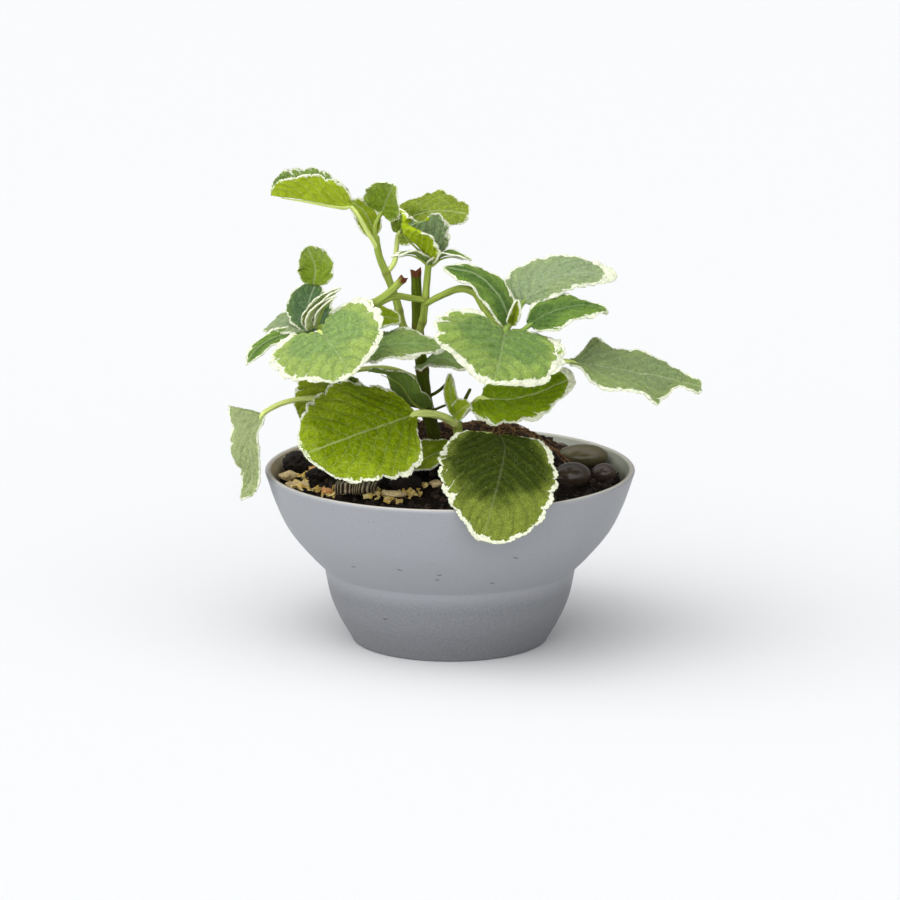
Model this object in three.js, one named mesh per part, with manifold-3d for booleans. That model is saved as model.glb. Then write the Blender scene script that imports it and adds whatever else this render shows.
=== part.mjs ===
// A variegated plectranthus in a grey bowl pot: soil, pebbles and dried scraps, one old pruned stem
// with five leafy shoots on it, and the large leaves.
// Millimetres, +Z up. The origin is the centre of the pot's flat foot and the front faces -Y.
import * as THREE from "three";
import { mergeVertices } from "three/addons/utils/BufferGeometryUtils.js";
import Module from "manifold-3d";

const wasm = await Module();
wasm.setup();

// ---- Driving dimensions ----
const CLEARANCE = 0.3; // between pieces that rest on or in each other

const FOOT_RADIUS = 48.3;
const WAIST_RADIUS = 61.2;
const WAIST_HEIGHT = 35.5;
const RIM_RADIUS = 90;
const POT_HEIGHT = 85;
const POT_WALL = 3;
const POT_FLOOR = 4; // thickness of the pot's bottom
const FOOT_ROUNDING = 1;
const LIP_ROUNDING = 1.2;
const POT_SIDES = 36;

const SOIL_LEVEL = 77.5;
const SOIL_RELIEF = 1.6; // height of the lumps in the soil's surface
const MOUND_HEIGHT = 22.5; // the root ball, which stands above the rest of the soil
const MOUND_AT = [2, 26];
const MOUND_HALF_WIDTH = 52;
const MOUND_FRONT = 46; // how far it runs out towards the front, and towards the back
const MOUND_BACK = 38;
const SOIL_EDGE_INSET = 3.4; // from the pot's wall to the edge of the soil's flat top
const SOIL_EDGE_DROP = 3; // how far the soil slopes down between them
const SOIL_RINGS = [1, 0.83, 0.66, 0.49, 0.32, 0.16]; // rings of its surface, as shares of its radius

const BLADE_THICKNESS = 0.8;
const STEM_STEP = 8; // length of one straight stretch of a stem
const PETIOLE_RADIUS = 1.4;
const PETIOLE_SUNK = 0.08; // share of the midrib that the petiole runs on inside the blade

// ---- Colours ----
const COLOURS = {
  pot: { color: 0x9ea1a6, roughness: 0.5 },
  soil: { color: 0x1c140e, roughness: 0.95 },
  pebble: { color: 0x5a4636, roughness: 0.35 },
  bark: { color: 0x2a211b, roughness: 0.9 },
  chip: { color: 0xc9a86a, roughness: 0.8 },
  stem: { color: 0x55661a, roughness: 0.6 },
  shoot: { color: 0x9cab5c, roughness: 0.6 },
  leaf_sage: { color: 0x7f9a62, roughness: 0.7 },
  leaf_lime: { color: 0xa2b654, roughness: 0.7 },
  leaf_dark: { color: 0x465530, roughness: 0.7 },
};

function materialOf(slot) {
  return new THREE.MeshStandardMaterial({ ...COLOURS[slot], metalness: 0, name: slot });
}

// ---- Solids ----
function solidOf(geometry) {
  const plain = geometry.index ? geometry.toNonIndexed() : geometry.clone();
  plain.deleteAttribute("normal");
  plain.deleteAttribute("uv");
  const merged = mergeVertices(plain, 1e-3);
  const vertProperties = merged.attributes.position.array;
  const triVerts = Uint32Array.from(merged.index.array);
  return new wasm.Manifold(new wasm.Mesh({ numProp: 3, vertProperties, triVerts }));
}

function meshOf(name, slot, solid) {
  const made = solid.getMesh();
  const positions = new Float32Array(made.numVert * 3);
  for (let v = 0; v < made.numVert; v++) {
    const start = v * made.numProp;
    positions.set(made.vertProperties.subarray(start, start + 3), v * 3);
  }
  const geometry = new THREE.BufferGeometry();
  geometry.setAttribute("position", new THREE.BufferAttribute(positions, 3));
  geometry.setIndex(new THREE.BufferAttribute(made.triVerts, 1));
  geometry.computeVertexNormals();
  const mesh = new THREE.Mesh(geometry, materialOf(slot));
  mesh.name = name;
  return mesh;
}

// The largest connected body of a solid, without the scraps that a cut leaves.
function mainBody(solid) {
  const bodies = solid.decompose();
  return bodies.reduce((best, body) => (body.volume() > best.volume() ? body : best));
}

function curveOf(points) {
  const knots = points.map((point) => new THREE.Vector3(...point));
  return new THREE.CatmullRomCurve3(knots, false, "centripetal");
}

// A round stem along a curve, which tapers from one radius to the other. Its section has as many
// sides as twice the arc's segments.
function stemSolid(points, startRadius, endRadius, grown = 0) {
  const path = curveOf(points);
  const steps = Math.max(2, Math.round(path.getLength() / STEM_STEP));
  const arcSegments = startRadius > 1.5 ? 4 : 3;
  const section = new THREE.Shape().absarc(0, 0, 1, 0, 2 * Math.PI);
  const options = { steps, extrudePath: path, curveSegments: arcSegments, bevelEnabled: false };
  const tube = new THREE.ExtrudeGeometry(section, options);
  const centres = path.getSpacedPoints(steps);
  const position = tube.attributes.position;
  const vertex = new THREE.Vector3();
  for (let v = 0; v < position.count; v++) {
    vertex.fromBufferAttribute(position, v);
    const distances = centres.map((centre) => centre.distanceTo(vertex));
    const ring = distances.indexOf(Math.min(...distances));
    const radius = THREE.MathUtils.lerp(startRadius, endRadius, ring / steps) + grown;
    vertex.sub(centres[ring]).multiplyScalar(radius).add(centres[ring]);
    position.setXYZ(v, vertex.x, vertex.y, vertex.z);
  }
  return solidOf(tube);
}

// ---- The pot ----
// The outside, from the foot's edge up to the rim: a flaring base, a step at the waist, and a bowl.
function potOutline() {
  const base = new THREE.SplineCurve([
    new THREE.Vector2(FOOT_RADIUS, FOOT_ROUNDING),
    new THREE.Vector2(FOOT_RADIUS + 5.7, 11),
    new THREE.Vector2(FOOT_RADIUS + 10, 21),
    new THREE.Vector2(WAIST_RADIUS - 0.3, WAIST_HEIGHT - 2.5),
  ]);
  const bowl = new THREE.SplineCurve([
    new THREE.Vector2(WAIST_RADIUS + 0.4, WAIST_HEIGHT + 0.9),
    new THREE.Vector2(WAIST_RADIUS + 7.8, WAIST_HEIGHT + 8.5),
    new THREE.Vector2(RIM_RADIUS - 11, POT_HEIGHT - 28.5),
    new THREE.Vector2(RIM_RADIUS - 5, POT_HEIGHT - 16),
    new THREE.Vector2(RIM_RADIUS, POT_HEIGHT - LIP_ROUNDING),
  ]);
  return [...base.getPoints(4), ...bowl.getPoints(6)];
}

// An outline moved inwards by a distance, square to itself.
function insetOutline(outline, distance) {
  return outline.map((point, i) => {
    const before = outline[Math.max(i - 1, 0)];
    const after = outline[Math.min(i + 1, outline.length - 1)];
    const along = after.clone().sub(before).normalize();
    return new THREE.Vector2(point.x - along.y * distance, point.y + along.x * distance);
  });
}

function potSolid() {
  const outside = potOutline();
  const inside = insetOutline(outside, POT_WALL).reverse();
  const lipHeight = POT_HEIGHT - LIP_ROUNDING;
  const innerWall = inside.filter((point) => point.y > POT_FLOOR + 1 && point.y < lipHeight - 1);
  const lip = [
    new THREE.Vector2(RIM_RADIUS - LIP_ROUNDING, POT_HEIGHT),
    new THREE.Vector2(RIM_RADIUS - POT_WALL + LIP_ROUNDING, POT_HEIGHT),
    new THREE.Vector2(RIM_RADIUS - POT_WALL, lipHeight),
  ];
  const profile = [
    new THREE.Vector2(0, 0),
    new THREE.Vector2(FOOT_RADIUS - FOOT_ROUNDING, 0),
    ...outside,
    ...lip,
    ...innerWall,
    new THREE.Vector2(FOOT_RADIUS - POT_WALL, POT_FLOOR),
    new THREE.Vector2(0, POT_FLOOR),
  ];
  return solidOf(new THREE.LatheGeometry(profile, POT_SIDES));
}

// ---- The soil ----
// Height of the root ball over the soil's level: a flat-topped heap that falls off to all sides.
function moundHeight(x, y) {
  const across = (x - MOUND_AT[0]) / MOUND_HALF_WIDTH;
  const behind = y - MOUND_AT[1];
  const along = behind / (behind > 0 ? MOUND_BACK : MOUND_FRONT);
  return MOUND_HEIGHT * Math.exp(-(across ** 4) - along ** 2);
}

// Height of the soil's surface over its level: the root ball, and lumps of two sizes by a formula.
function soilRelief(x, y) {
  const broad = Math.sin(x * 0.11 + 1.3) * Math.cos(y * 0.13 - 0.4);
  const fine = Math.sin(x * 0.31 + y * 0.17) * Math.sin(y * 0.29 - x * 0.12 + 2);
  return moundHeight(x, y) + SOIL_RELIEF * (0.7 * broad + 0.5 * fine);
}

function soilSolid() {
  const wall = insetOutline(potOutline(), POT_WALL + CLEARANCE);
  const floor = POT_FLOOR + CLEARANCE;
  const edgeHeight = SOIL_LEVEL - SOIL_EDGE_DROP;
  const side = wall.filter((point) => point.y > floor + 1 && point.y < edgeHeight);
  const topRadius = RIM_RADIUS - POT_WALL - SOIL_EDGE_INSET;
  const profile = [
    new THREE.Vector2(0, floor),
    new THREE.Vector2(FOOT_RADIUS - POT_WALL - CLEARANCE, floor),
    ...side,
    ...SOIL_RINGS.map((share) => new THREE.Vector2(topRadius * share, SOIL_LEVEL)),
    new THREE.Vector2(0, SOIL_LEVEL),
  ];
  const geometry = new THREE.LatheGeometry(profile, POT_SIDES);
  const position = geometry.attributes.position;
  for (let v = 0; v < position.count; v++) {
    // The lathe turns about Y, so here Y is the height, and Z points to the front.
    if (position.getY(v) < SOIL_LEVEL - 0.1) continue;
    const lift = soilRelief(position.getX(v), -position.getZ(v));
    position.setY(v, SOIL_LEVEL + lift);
  }
  return solidOf(geometry);
}

// ---- Things that lie on the soil ----
// A pebble or lump: a ball pressed to its size, with broad dents by a formula.
function lumpSolid({ at, size, turn, dents }, grown = 0) {
  const ball = new THREE.SphereGeometry(0.5, 10, 7);
  const position = ball.attributes.position;
  const vertex = new THREE.Vector3();
  for (let v = 0; v < position.count; v++) {
    vertex.fromBufferAttribute(position, v);
    const dent = Math.sin(vertex.x * 7 + at[0]) * Math.cos(vertex.y * 6 - vertex.z * 5 + at[1]);
    vertex.multiplyScalar(1 + dents * dent);
    vertex.multiply(new THREE.Vector3(...size).addScalar(2 * grown));
    position.setXYZ(v, vertex.x, vertex.y, vertex.z);
  }
  ball.rotateZ(THREE.MathUtils.degToRad(turn));
  ball.translate(...at);
  return solidOf(ball);
}

// A flat scrap of wood or dried leaf with bevelled edges; ribs run along it where it has any.
function scrapSolid({ at, size, turn, tilt, ribs }, grown = 0) {
  const [length, width, height] = size.map((side) => side + 2 * grown);
  const outline = new THREE.Shape();
  const edge = Math.max(6, ribs * 4);
  for (let i = 0; i <= edge; i++) {
    const across = -0.5 + i / edge;
    const rib = ribs ? 0.12 * Math.cos(2 * Math.PI * ribs * across) : 0;
    const y = height * (Math.cos(Math.PI * across) * 0.35 + 0.15 + rib);
    if (i === 0) outline.moveTo(across * width, y);
    else outline.lineTo(across * width, y);
  }
  outline.lineTo(width * 0.5, -height * 0.35);
  outline.lineTo(-width * 0.5, -height * 0.35);
  outline.closePath();
  const scrap = new THREE.ExtrudeGeometry(outline, { depth: length, steps: 2, bevelEnabled: false });
  scrap.translate(0, 0, -length / 2);
  const position = scrap.attributes.position;
  for (let v = 0; v < position.count; v++) {
    const along = position.getZ(v) / length; // -0.5 to 0.5
    const narrow = 1 - 1.1 * along * along;
    position.setX(v, position.getX(v) * narrow);
  }
  scrap.rotateX(Math.PI / 2);
  scrap.rotateY(THREE.MathUtils.degToRad(tilt));
  scrap.rotateZ(THREE.MathUtils.degToRad(turn));
  scrap.translate(...at);
  return solidOf(scrap);
}

const PEBBLES = {
  pebble_olive: { at: [65, 31, 83], size: [26, 15, 12], turn: 8, dents: 0.08 },
  pebble_dark: { at: [59, -9, 82.5], size: [19, 17, 13], turn: 30, dents: 0.1 },
  pebble_plum: { at: [75, 4, 80.5], size: [12.5, 13, 10], turn: -20, dents: 0.06 },
  pebble_back: { at: [54, 52, 81], size: [13, 9, 8], turn: 50, dents: 0.06 },
};

const BARK_LUMPS = {
  bark_lump_left: { at: [-75, 20, 82], size: [13, 14, 12], turn: 10, dents: 0.22 },
  bark_lump_inner: { at: [-64, 1, 81], size: [13, 10, 7], turn: 40, dents: 0.2 },
  bark_lump_front: { at: [-21, -31, 84.3], size: [17, 12, 8], turn: -25, dents: 0.2 },
};

const SCRAPS = {
  dried_husk: { at: [-45, -35, 82.4], size: [21, 11, 6], turn: 82, tilt: 8, ribs: 4 },
  wood_chip_amber: { at: [-65, 13, 80], size: [9, 6, 3.4], turn: 60, tilt: 14, ribs: 0 },
  wood_chip_left: { at: [-79, 4, 79.6], size: [11, 6, 3], turn: -35, tilt: 10, ribs: 0 },
  wood_chip_cream: { at: [-74, -15, 79.4], size: [13, 5, 2.6], turn: 70, tilt: -8, ribs: 0 },
  wood_chip_small: { at: [-59, -29, 79.8], size: [8, 5, 2.6], turn: 20, tilt: 6, ribs: 0 },
  wood_chip_centre: { at: [-27, -42, 81.6], size: [13, 5, 2.8], turn: 65, tilt: 8, ribs: 0 },
  wood_chip_pale: { at: [-7, -31, 83.9], size: [8, 5, 2.6], turn: 15, tilt: -6, ribs: 0 },
};

// ---- Stems ----
// Each has its route from root to end, its radius at both, and the stem that it grows from.
const STEMS = {
  main_stem: {
    slot: "stem",
    radius: [3.9, 2.4],
    route: [[-4, 0, 60], [-6, 0, 84], [-8, 0, 101], [-11.5, 0, 117], [-14, 0, 138], [-15.5, 0, 153],
      [-16, 0, 168], [-16.5, 0, 182]],
  },
  shoot_front: {
    slot: "shoot",
    radius: [2.3, 2.1],
    route: [[5, -13, 62], [4, -12, 84], [4, -12, 101], [3, -12, 115]],
  },
  shoot_top_centre: {
    slot: "shoot",
    from: "main_stem",
    radius: [1.9, 1.6],
    route: [[-15, -1, 152], [-13, -6, 159], [-12, -8, 169], [-11, -8, 179], [-10, -8, 190]],
  },
  shoot_top_left: {
    slot: "shoot",
    from: "main_stem",
    radius: [2.1, 1.7],
    route: [[-13.5, 1, 139], [-19, 6, 147], [-23, 7, 154], [-26, 8, 166], [-30, 8, 177],
      [-34, 8, 187], [-36, 8, 198]],
  },
  shoot_left: {
    slot: "shoot",
    from: "shoot_top_centre",
    radius: [1.5, 2],
    route: [[-12, -8, 169], [-19, -12, 171], [-26, -15, 172.5], [-33, -17, 170], [-40, -17, 165],
      [-50, -16, 160], [-64, -15, 156]],
  },
  shoot_right: {
    slot: "shoot",
    from: "shoot_top_centre",
    radius: [1.5, 2.2],
    route: [[-12, -8, 167], [-5, -13, 172], [5, -20, 177], [12, -26, 176], [17, -31, 169],
      [23, -34, 164], [29, -36, 161]],
  },
};

// A branch that was pruned back, fused to the left shoot.
const PRUNED_BRANCH = {
  on: "shoot_left",
  radius: [2, 1.8],
  route: [[-52, -16, 160], [-46, -17, 167.5], [-38, -18, 169], [-30, -18, 174], [-22, -18, 182]],
};

// ---- Leaves ----
// midrib: from the blade's base to its tip. up: the way the upper face looks. fold: how far each
// half is raised about the midrib, and curl: how much further it bends on its way to the edge, in
// degrees. wave: height of the edge's waves. teeth: round teeth on each side.
// petiole: its route from the stem to the blade's base. lobe: how far the blade's base reaches
// back on each side of the petiole. halves: the width of each half against the mean.
// broadest: where the blade is widest, as a share of the midrib. Two values are those of the
// halves at u below and above 0. edge: horns and notches, each with its half (-1 or 1), its place
// along the midrib, how much it widens the half there and how far it spreads.
const LARGE_LEAVES = {
  leaf_right_front: {
    on: "shoot_right", slot: "leaf_lime", width: 60, teeth: 8, up: [0.24, -0.46, 0.86],
    fold: 15, curl: -22, wave: 1.6, lobe: 8, halves: [0.94, 1.06],
    petiole: [[27, -36, 160], [27, -42, 162.5], [26, -48, 162]],
    midrib: [[26, -48, 162], [25, -59, 159], [23, -71, 152], [20, -84, 144]],
  },
  leaf_right_side: {
    on: "shoot_right", slot: "leaf_sage", width: 34, teeth: 7, up: [0, -0.18, 1],
    fold: 4, curl: -8, wave: 1, lobe: 0, broadest: [0.42, 0.3], halves: [0.84, 1],
    petiole: [[29, -36, 159.5], [34, -37.5, 160], [38, -38, 163]],
    midrib: [[38, -38, 163], [47, -36, 168.5], [61, -31, 171], [75, -25, 167.5]],
  },
  leaf_right_back: {
    on: "shoot_right", slot: "leaf_sage", width: 46, teeth: 8, up: [-0.15, -0.35, 0.93],
    fold: 8, curl: -12, wave: 1.4, lobe: 0, halves: [0.8, 0.52],
    petiole: [[27, -35, 161], [30, -27, 163], [35, -19, 170]],
    midrib: [[35, -19, 170], [43, -10, 177.5], [58, -2, 181], [80, 4, 179]],
  },
  leaf_right_far: {
    on: "shoot_right", slot: "leaf_sage", width: 39, teeth: 8, up: [0, -0.34, 0.94],
    fold: 8, curl: -14, wave: 2, lobe: 0, broadest: 0.42,
    edge: [[-1, 0.17, 0.25, 0.06], [-1, 0.95, -0.35, 0.08], [1, 0.6, 0.3, 0.08], [1, 0.82, -0.55, 0.1]],
    petiole: [[21, -33, 165], [27, -34, 156], [38, -39, 150], [47, -42, 147.5], [57, -42, 146]],
    midrib: [[57, -42, 146], [76, -42, 143], [98, -38, 138], [120, -34, 132]],
  },
  leaf_left_front: {
    on: "shoot_left", slot: "leaf_sage", width: 56, teeth: 8, up: [-0.2, -0.5, 0.87],
    fold: 10, curl: -16, wave: 1.6, lobe: 8, halves: [0.95, 1.02],
    petiole: [[-64, -15, 153.5], [-63, -24, 153.5], [-62, -34, 158.6]],
    midrib: [[-62, -34, 158.6], [-58, -44, 157], [-53, -55, 152.5], [-46, -67, 144.5]],
  },
  leaf_left_inner: {
    on: "shoot_left", slot: "leaf_lime", width: 34, teeth: 7, up: [0, -0.22, 1],
    fold: 6, curl: -14, wave: 1.2, lobe: 2,
    petiole: [[-60, -19, 156], [-54, -23, 151], [-46, -26, 149]],
    midrib: [[-46, -26, 149], [-33, -28, 151], [-18, -28, 152], [-3, -28, 150]],
  },
  leaf_front_left: {
    on: "shoot_front", slot: "leaf_lime", width: 57, teeth: 9, up: [-0.1, -0.75, 0.65],
    fold: 8, curl: -14, wave: 1.8, lobe: [-3, -2], broadest: [0.42, 0.46],
    petiole: [[3, -13, 109], [-3, -19, 114], [-10, -25, 117], [-16.5, -29, 117.5]],
    midrib: [[-16.5, -29, 117.5], [-31, -40, 115], [-44, -48, 112], [-57, -55, 108.5], [-69, -60, 105]],
  },
  leaf_front_right: {
    on: "shoot_front", slot: "leaf_lime", width: 31, teeth: 8, up: [0, -0.65, 0.75],
    fold: 10, curl: -10, wave: 1.4, lobe: 2,
    petiole: [[5, -11, 112], [10, -14, 118], [15, -22, 124]],
    midrib: [[15, -22, 124], [28, -30, 125], [43, -36, 130], [59, -40, 138]],
  },
  leaf_front_hanging: {
    on: "shoot_front", slot: "leaf_dark", width: 57, teeth: 9, up: [0, -0.35, 0.94],
    fold: 4, curl: -16, wave: 1.4, lobe: [0, 7], broadest: [0.54, 0.32], halves: [0.9, 1.02],
    petiole: [[4, -13, 103], [13, -27, 107], [21, -40, 109]],
    midrib: [[24, -43, 110.5], [26, -56, 107], [24, -72, 99.5], [21, -86, 91], [18, -96, 82],
      [15, -100, 73]],
  },
  leaf_left_hanging: {
    on: "main_stem", slot: "leaf_sage", width: 27, teeth: 8, up: [-0.7, -0.5, 0.4],
    fold: 14, curl: -10, wave: 1.4, lobe: [0, 4], broadest: [0.5, 0.2], halves: [0.6, 1],
    edge: [[1, 0, 0.85, 0.11]],
    petiole: [[-12, 0, 117], [-24, -1, 122], [-41, -12, 124], [-58, -17, 123], [-73, -18, 122.5],
      [-83, -20, 120], [-90, -22, 116]],
    midrib: [[-90, -22, 116], [-95, -23, 107.5], [-96, -24, 99], [-95, -25, 89], [-96, -25, 82],
      [-101, -24, 75]],
  },
  leaf_left_behind: {
    on: "main_stem", slot: "leaf_dark", width: 34, teeth: 7, up: [-0.3, -0.8, 0.5],
    fold: 6, curl: -10, wave: 1.2, lobe: 2,
    petiole: [[-11, 2, 126], [-30, 4, 133], [-51, 2, 131]],
    midrib: [[-51, 2, 131], [-60, 0, 120], [-70, -2, 106]],
  },
  leaf_top_left: {
    on: "shoot_top_left", slot: "leaf_lime", width: 31, teeth: 7, up: [0, -0.04, 1],
    fold: 54, curl: 6, wave: 0.6, lobe: 0, broadest: 0.52,
    petiole: [[-35, 8, 191], [-39, 5, 199], [-48, 2, 213]],
    midrib: [[-48, 2, 213], [-61, 0, 215.5], [-74, -3, 218], [-86, -6, 220]],
  },
  leaf_top_right: {
    on: "shoot_top_left", slot: "leaf_sage", width: 34, teeth: 8, up: [-0.1, -0.4, 0.9],
    fold: 6, curl: -18, wave: 1.2, lobe: 2,
    petiole: [[-31, 8, 179], [-27, 10, 184], [-26, 12, 190], [-25, 13, 197.5]],
    midrib: [[-25, 13, 197.5], [-20, 12, 204.8], [-8, 10, 209.4], [9, 6, 208.4]],
  },
};

// Small leaves, fused to the shoot that they grow on.
const SMALL_LEAVES = [
  { on: "shoot_right", width: 17, teeth: 5, up: [0.25, -0.5, 0.8], fold: -8, curl: 0, wave: 0.8,
    midrib: [[29, -36, 163], [23, -32, 176], [13, -28, 185], [-3, -22, 188]] },
  { on: "shoot_right", width: 8, teeth: 3, up: [0, -1, 0.2], fold: 50, curl: 0, wave: 0,
    midrib: [[29, -35, 163], [31, -37, 169], [32, -37, 175]] },
  { on: "shoot_left", width: 20, teeth: 5, up: [-0.3, 0.1, 1], fold: 12, curl: -8, wave: 0.8,
    midrib: [[-66, -15, 156], [-80, -18, 155.5], [-91, -22, 150.5], [-98, -25, 144.5]] },
  { on: "shoot_left", width: 24, teeth: 5, up: [-0.1, -0.2, 1], fold: 10, curl: -8, wave: 0.8,
    midrib: [[-65, -15, 156], [-78, -4, 158], [-89, 4, 153]] },
  { on: "shoot_left", width: 21, teeth: 5, up: [0, -0.8, 0.5], fold: 12, curl: 0, wave: 0.8,
    midrib: [[-64, -15, 156], [-68, -4, 166], [-65, 2, 175]] },
  { on: "shoot_left", width: 15, teeth: 5, up: [-0.6, -0.6, 0.5], fold: 62, curl: 0, wave: 0.4,
    midrib: [[-66, -16, 158], [-70, -20, 165], [-64, -24, 174], [-53, -26, 180]] },
  { on: "shoot_left", width: 9, teeth: 4, up: [0.5, -0.5, 0.5], fold: 45, curl: 0, wave: 0.3,
    midrib: [[-64, -17, 159], [-61, -23, 168], [-54, -28, 175]] },
  { on: "shoot_left", width: 20, teeth: 5, up: [0, -0.3, 1], fold: 8, curl: -6, wave: 0.6,
    midrib: [[-66, -15, 154], [-70, -22, 143], [-75, -30, 139], [-81, -34, 139]] },
  { on: "shoot_left", width: 17, teeth: 5, up: [0, -1, 0.3], fold: 14, curl: 0, wave: 0.6,
    petiole: [[-65, -16, 157], [-65, -4, 168], [-66, 1, 175]],
    midrib: [[-66, 1, 175], [-65, 3, 183], [-69, 4, 193]] },
  { on: "shoot_left", width: 20, teeth: 5, up: [0, 0.1, 1], fold: 8, curl: -6, wave: 0.8,
    midrib: [[-56, -19, 158], [-40, -13, 162], [-24, -10, 160]] },
  { on: "shoot_front", width: 8, teeth: 4, up: [0, -1, 0.2], fold: 22, curl: 0, wave: 0.3,
    midrib: [[3, -12, 113], [0, -10, 124], [0, -8, 133]] },
  { on: "shoot_front", width: 12, teeth: 3, up: [0, -0.85, 0.5], fold: 16, curl: 0, wave: 0.4,
    midrib: [[3, -14, 114], [6, -19, 118], [10, -23, 121]] },
  { on: "shoot_front", width: 20, teeth: 5, up: [-0.3, -0.6, 0.7], fold: 12, curl: -8, wave: 0.8,
    midrib: [[3, -13, 97], [-9, -24, 96], [-20, -32, 91]] },
  { on: "shoot_top_left", width: 12, teeth: 4, up: [-0.5, -0.6, 0.6], fold: 14, curl: 0, wave: 0.5,
    midrib: [[-36, 9, 198], [-41, 14, 208], [-48, 18, 213]] },
  { on: "shoot_top_left", width: 21, teeth: 5, up: [0, -0.8, 0.6], fold: 20, curl: 0, wave: 0.6,
    petiole: [[-36, 8, 196], [-36, 8, 203], [-33, 8, 209]],
    midrib: [[-33, 8, 209], [-30, 4, 217], [-27, 0, 224]] },
  { on: "shoot_top_centre", width: 34, teeth: 5, up: [0.6, 0, 0.75], fold: 38, curl: 0, wave: 1,
    halves: [1, 0.65],
    midrib: [[-9, -8, 188], [-12, -13, 194], [-19, -19, 199.5], [-24, -25, 209]] },
  { on: "shoot_top_centre", width: 7, teeth: 3, up: [-0.2, 0, 1], fold: 20, curl: 0, wave: 0.3,
    midrib: [[-10, -8, 187], [-18, -14, 193], [-28, -18, 192]] },
  { on: "shoot_top_centre", width: 9, teeth: 3, up: [0, 0, 1], fold: 20, curl: 0, wave: 0.3,
    midrib: [[-10, -8, 186], [-2, -12, 192], [10, -16, 190]] },
  { on: "main_stem", width: 18, teeth: 5, up: [0, -0.4, 0.9], fold: 10, curl: -8, wave: 0.7,
    midrib: [[-14, -1, 136], [-2, -12, 141], [8, -20, 138]] },
  { on: "main_stem", width: 14, teeth: 5, up: [-0.3, 0.2, 1], fold: 18, curl: 0, wave: 0.7,
    midrib: [[-11, -1, 113], [-19, -10, 121], [-27, -16, 133], [-39, -20, 137]] },
];

const BROADEST_AT = 0.4; // share of the midrib from the base, where a leaf has no other
const TOOTH_DEPTH = 0.05; // share of the half width
const COLUMNS = [-1, -0.5, 0, 0.5, 1]; // places across the blade, edge to edge
const NARROW_COLUMNS = [-1, 0, 1];
const NARROW = 15; // width of the blades that have only these

// Half width of a blade as a share of its greatest, s from 0 at the base to 1 at the blunt tip.
function bladeOutline(s, towardsBase = BROADEST_AT) {
  const towardsTip = 1 - towardsBase;
  const value = (s + 0.02) ** towardsBase * (1.01 - s) ** towardsTip;
  const greatest = towardsBase ** towardsBase * towardsTip ** towardsTip;
  return value / greatest;
}

// The value for one half of a blade, where the two halves differ.
function ofHalf(value, hand) {
  return Array.isArray(value) ? value[hand < 0 ? 0 : 1] : value;
}

// How much wider a blade is at s for its own horns and notches.
function edgeGain(leaf, s, hand) {
  const near = (leaf.edge ?? []).filter(([side]) => side === hand);
  return near.reduce((sum, [, at, gain, spread]) => sum + gain * Math.exp(-(((s - at) / spread) ** 2)), 1);
}

// One point of a blade's middle surface and the surface's normal there.
// s runs along the midrib and u across it, from -1 at one edge to 1 at the other.
function bladePoint(leaf, midrib, s, u, row) {
  const centre = midrib.getPointAt(s);
  const along = midrib.getTangentAt(s);
  const up = new THREE.Vector3(...leaf.up);
  const normal = up.clone().addScaledVector(along, -along.dot(up)).normalize();
  const side = new THREE.Vector3().crossVectors(along, normal);
  const hand = Math.sign(u);
  const share = Math.abs(u);
  const tooth = 1 + TOOTH_DEPTH * (row % 2 ? 1 : -1) * share ** 4;
  const outline = bladeOutline(s, ofHalf(leaf.broadest, hand)) * edgeGain(leaf, s, hand);
  const halfWidth = (leaf.width / 2) * ofHalf(leaf.halves ?? 1, hand) * outline * tooth;
  const fold = THREE.MathUtils.degToRad(leaf.fold);
  const curl = THREE.MathUtils.degToRad(leaf.curl);
  const meanTurn = fold + (curl * share) / 2;
  const turn = fold + curl * share;
  const reach = halfWidth * share;
  const waves = Math.sin(2 * Math.PI * (2.5 * s + 0.2 * hand)) * leaf.wave * share * share;
  const point = centre
    .addScaledVector(side, hand * reach * Math.cos(meanTurn))
    .addScaledVector(normal, reach * Math.sin(meanTurn) + waves)
    .addScaledVector(along, -ofHalf(leaf.lobe ?? 0, hand) * share ** 1.5 * (1 - s) ** 3);
  if (hand === 0) return { point, normal: normal.divideScalar(Math.max(Math.cos(fold), 0.5)) };
  const face = normal.multiplyScalar(Math.cos(turn)).addScaledVector(side, -hand * Math.sin(turn));
  return { point, normal: face };
}

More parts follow.
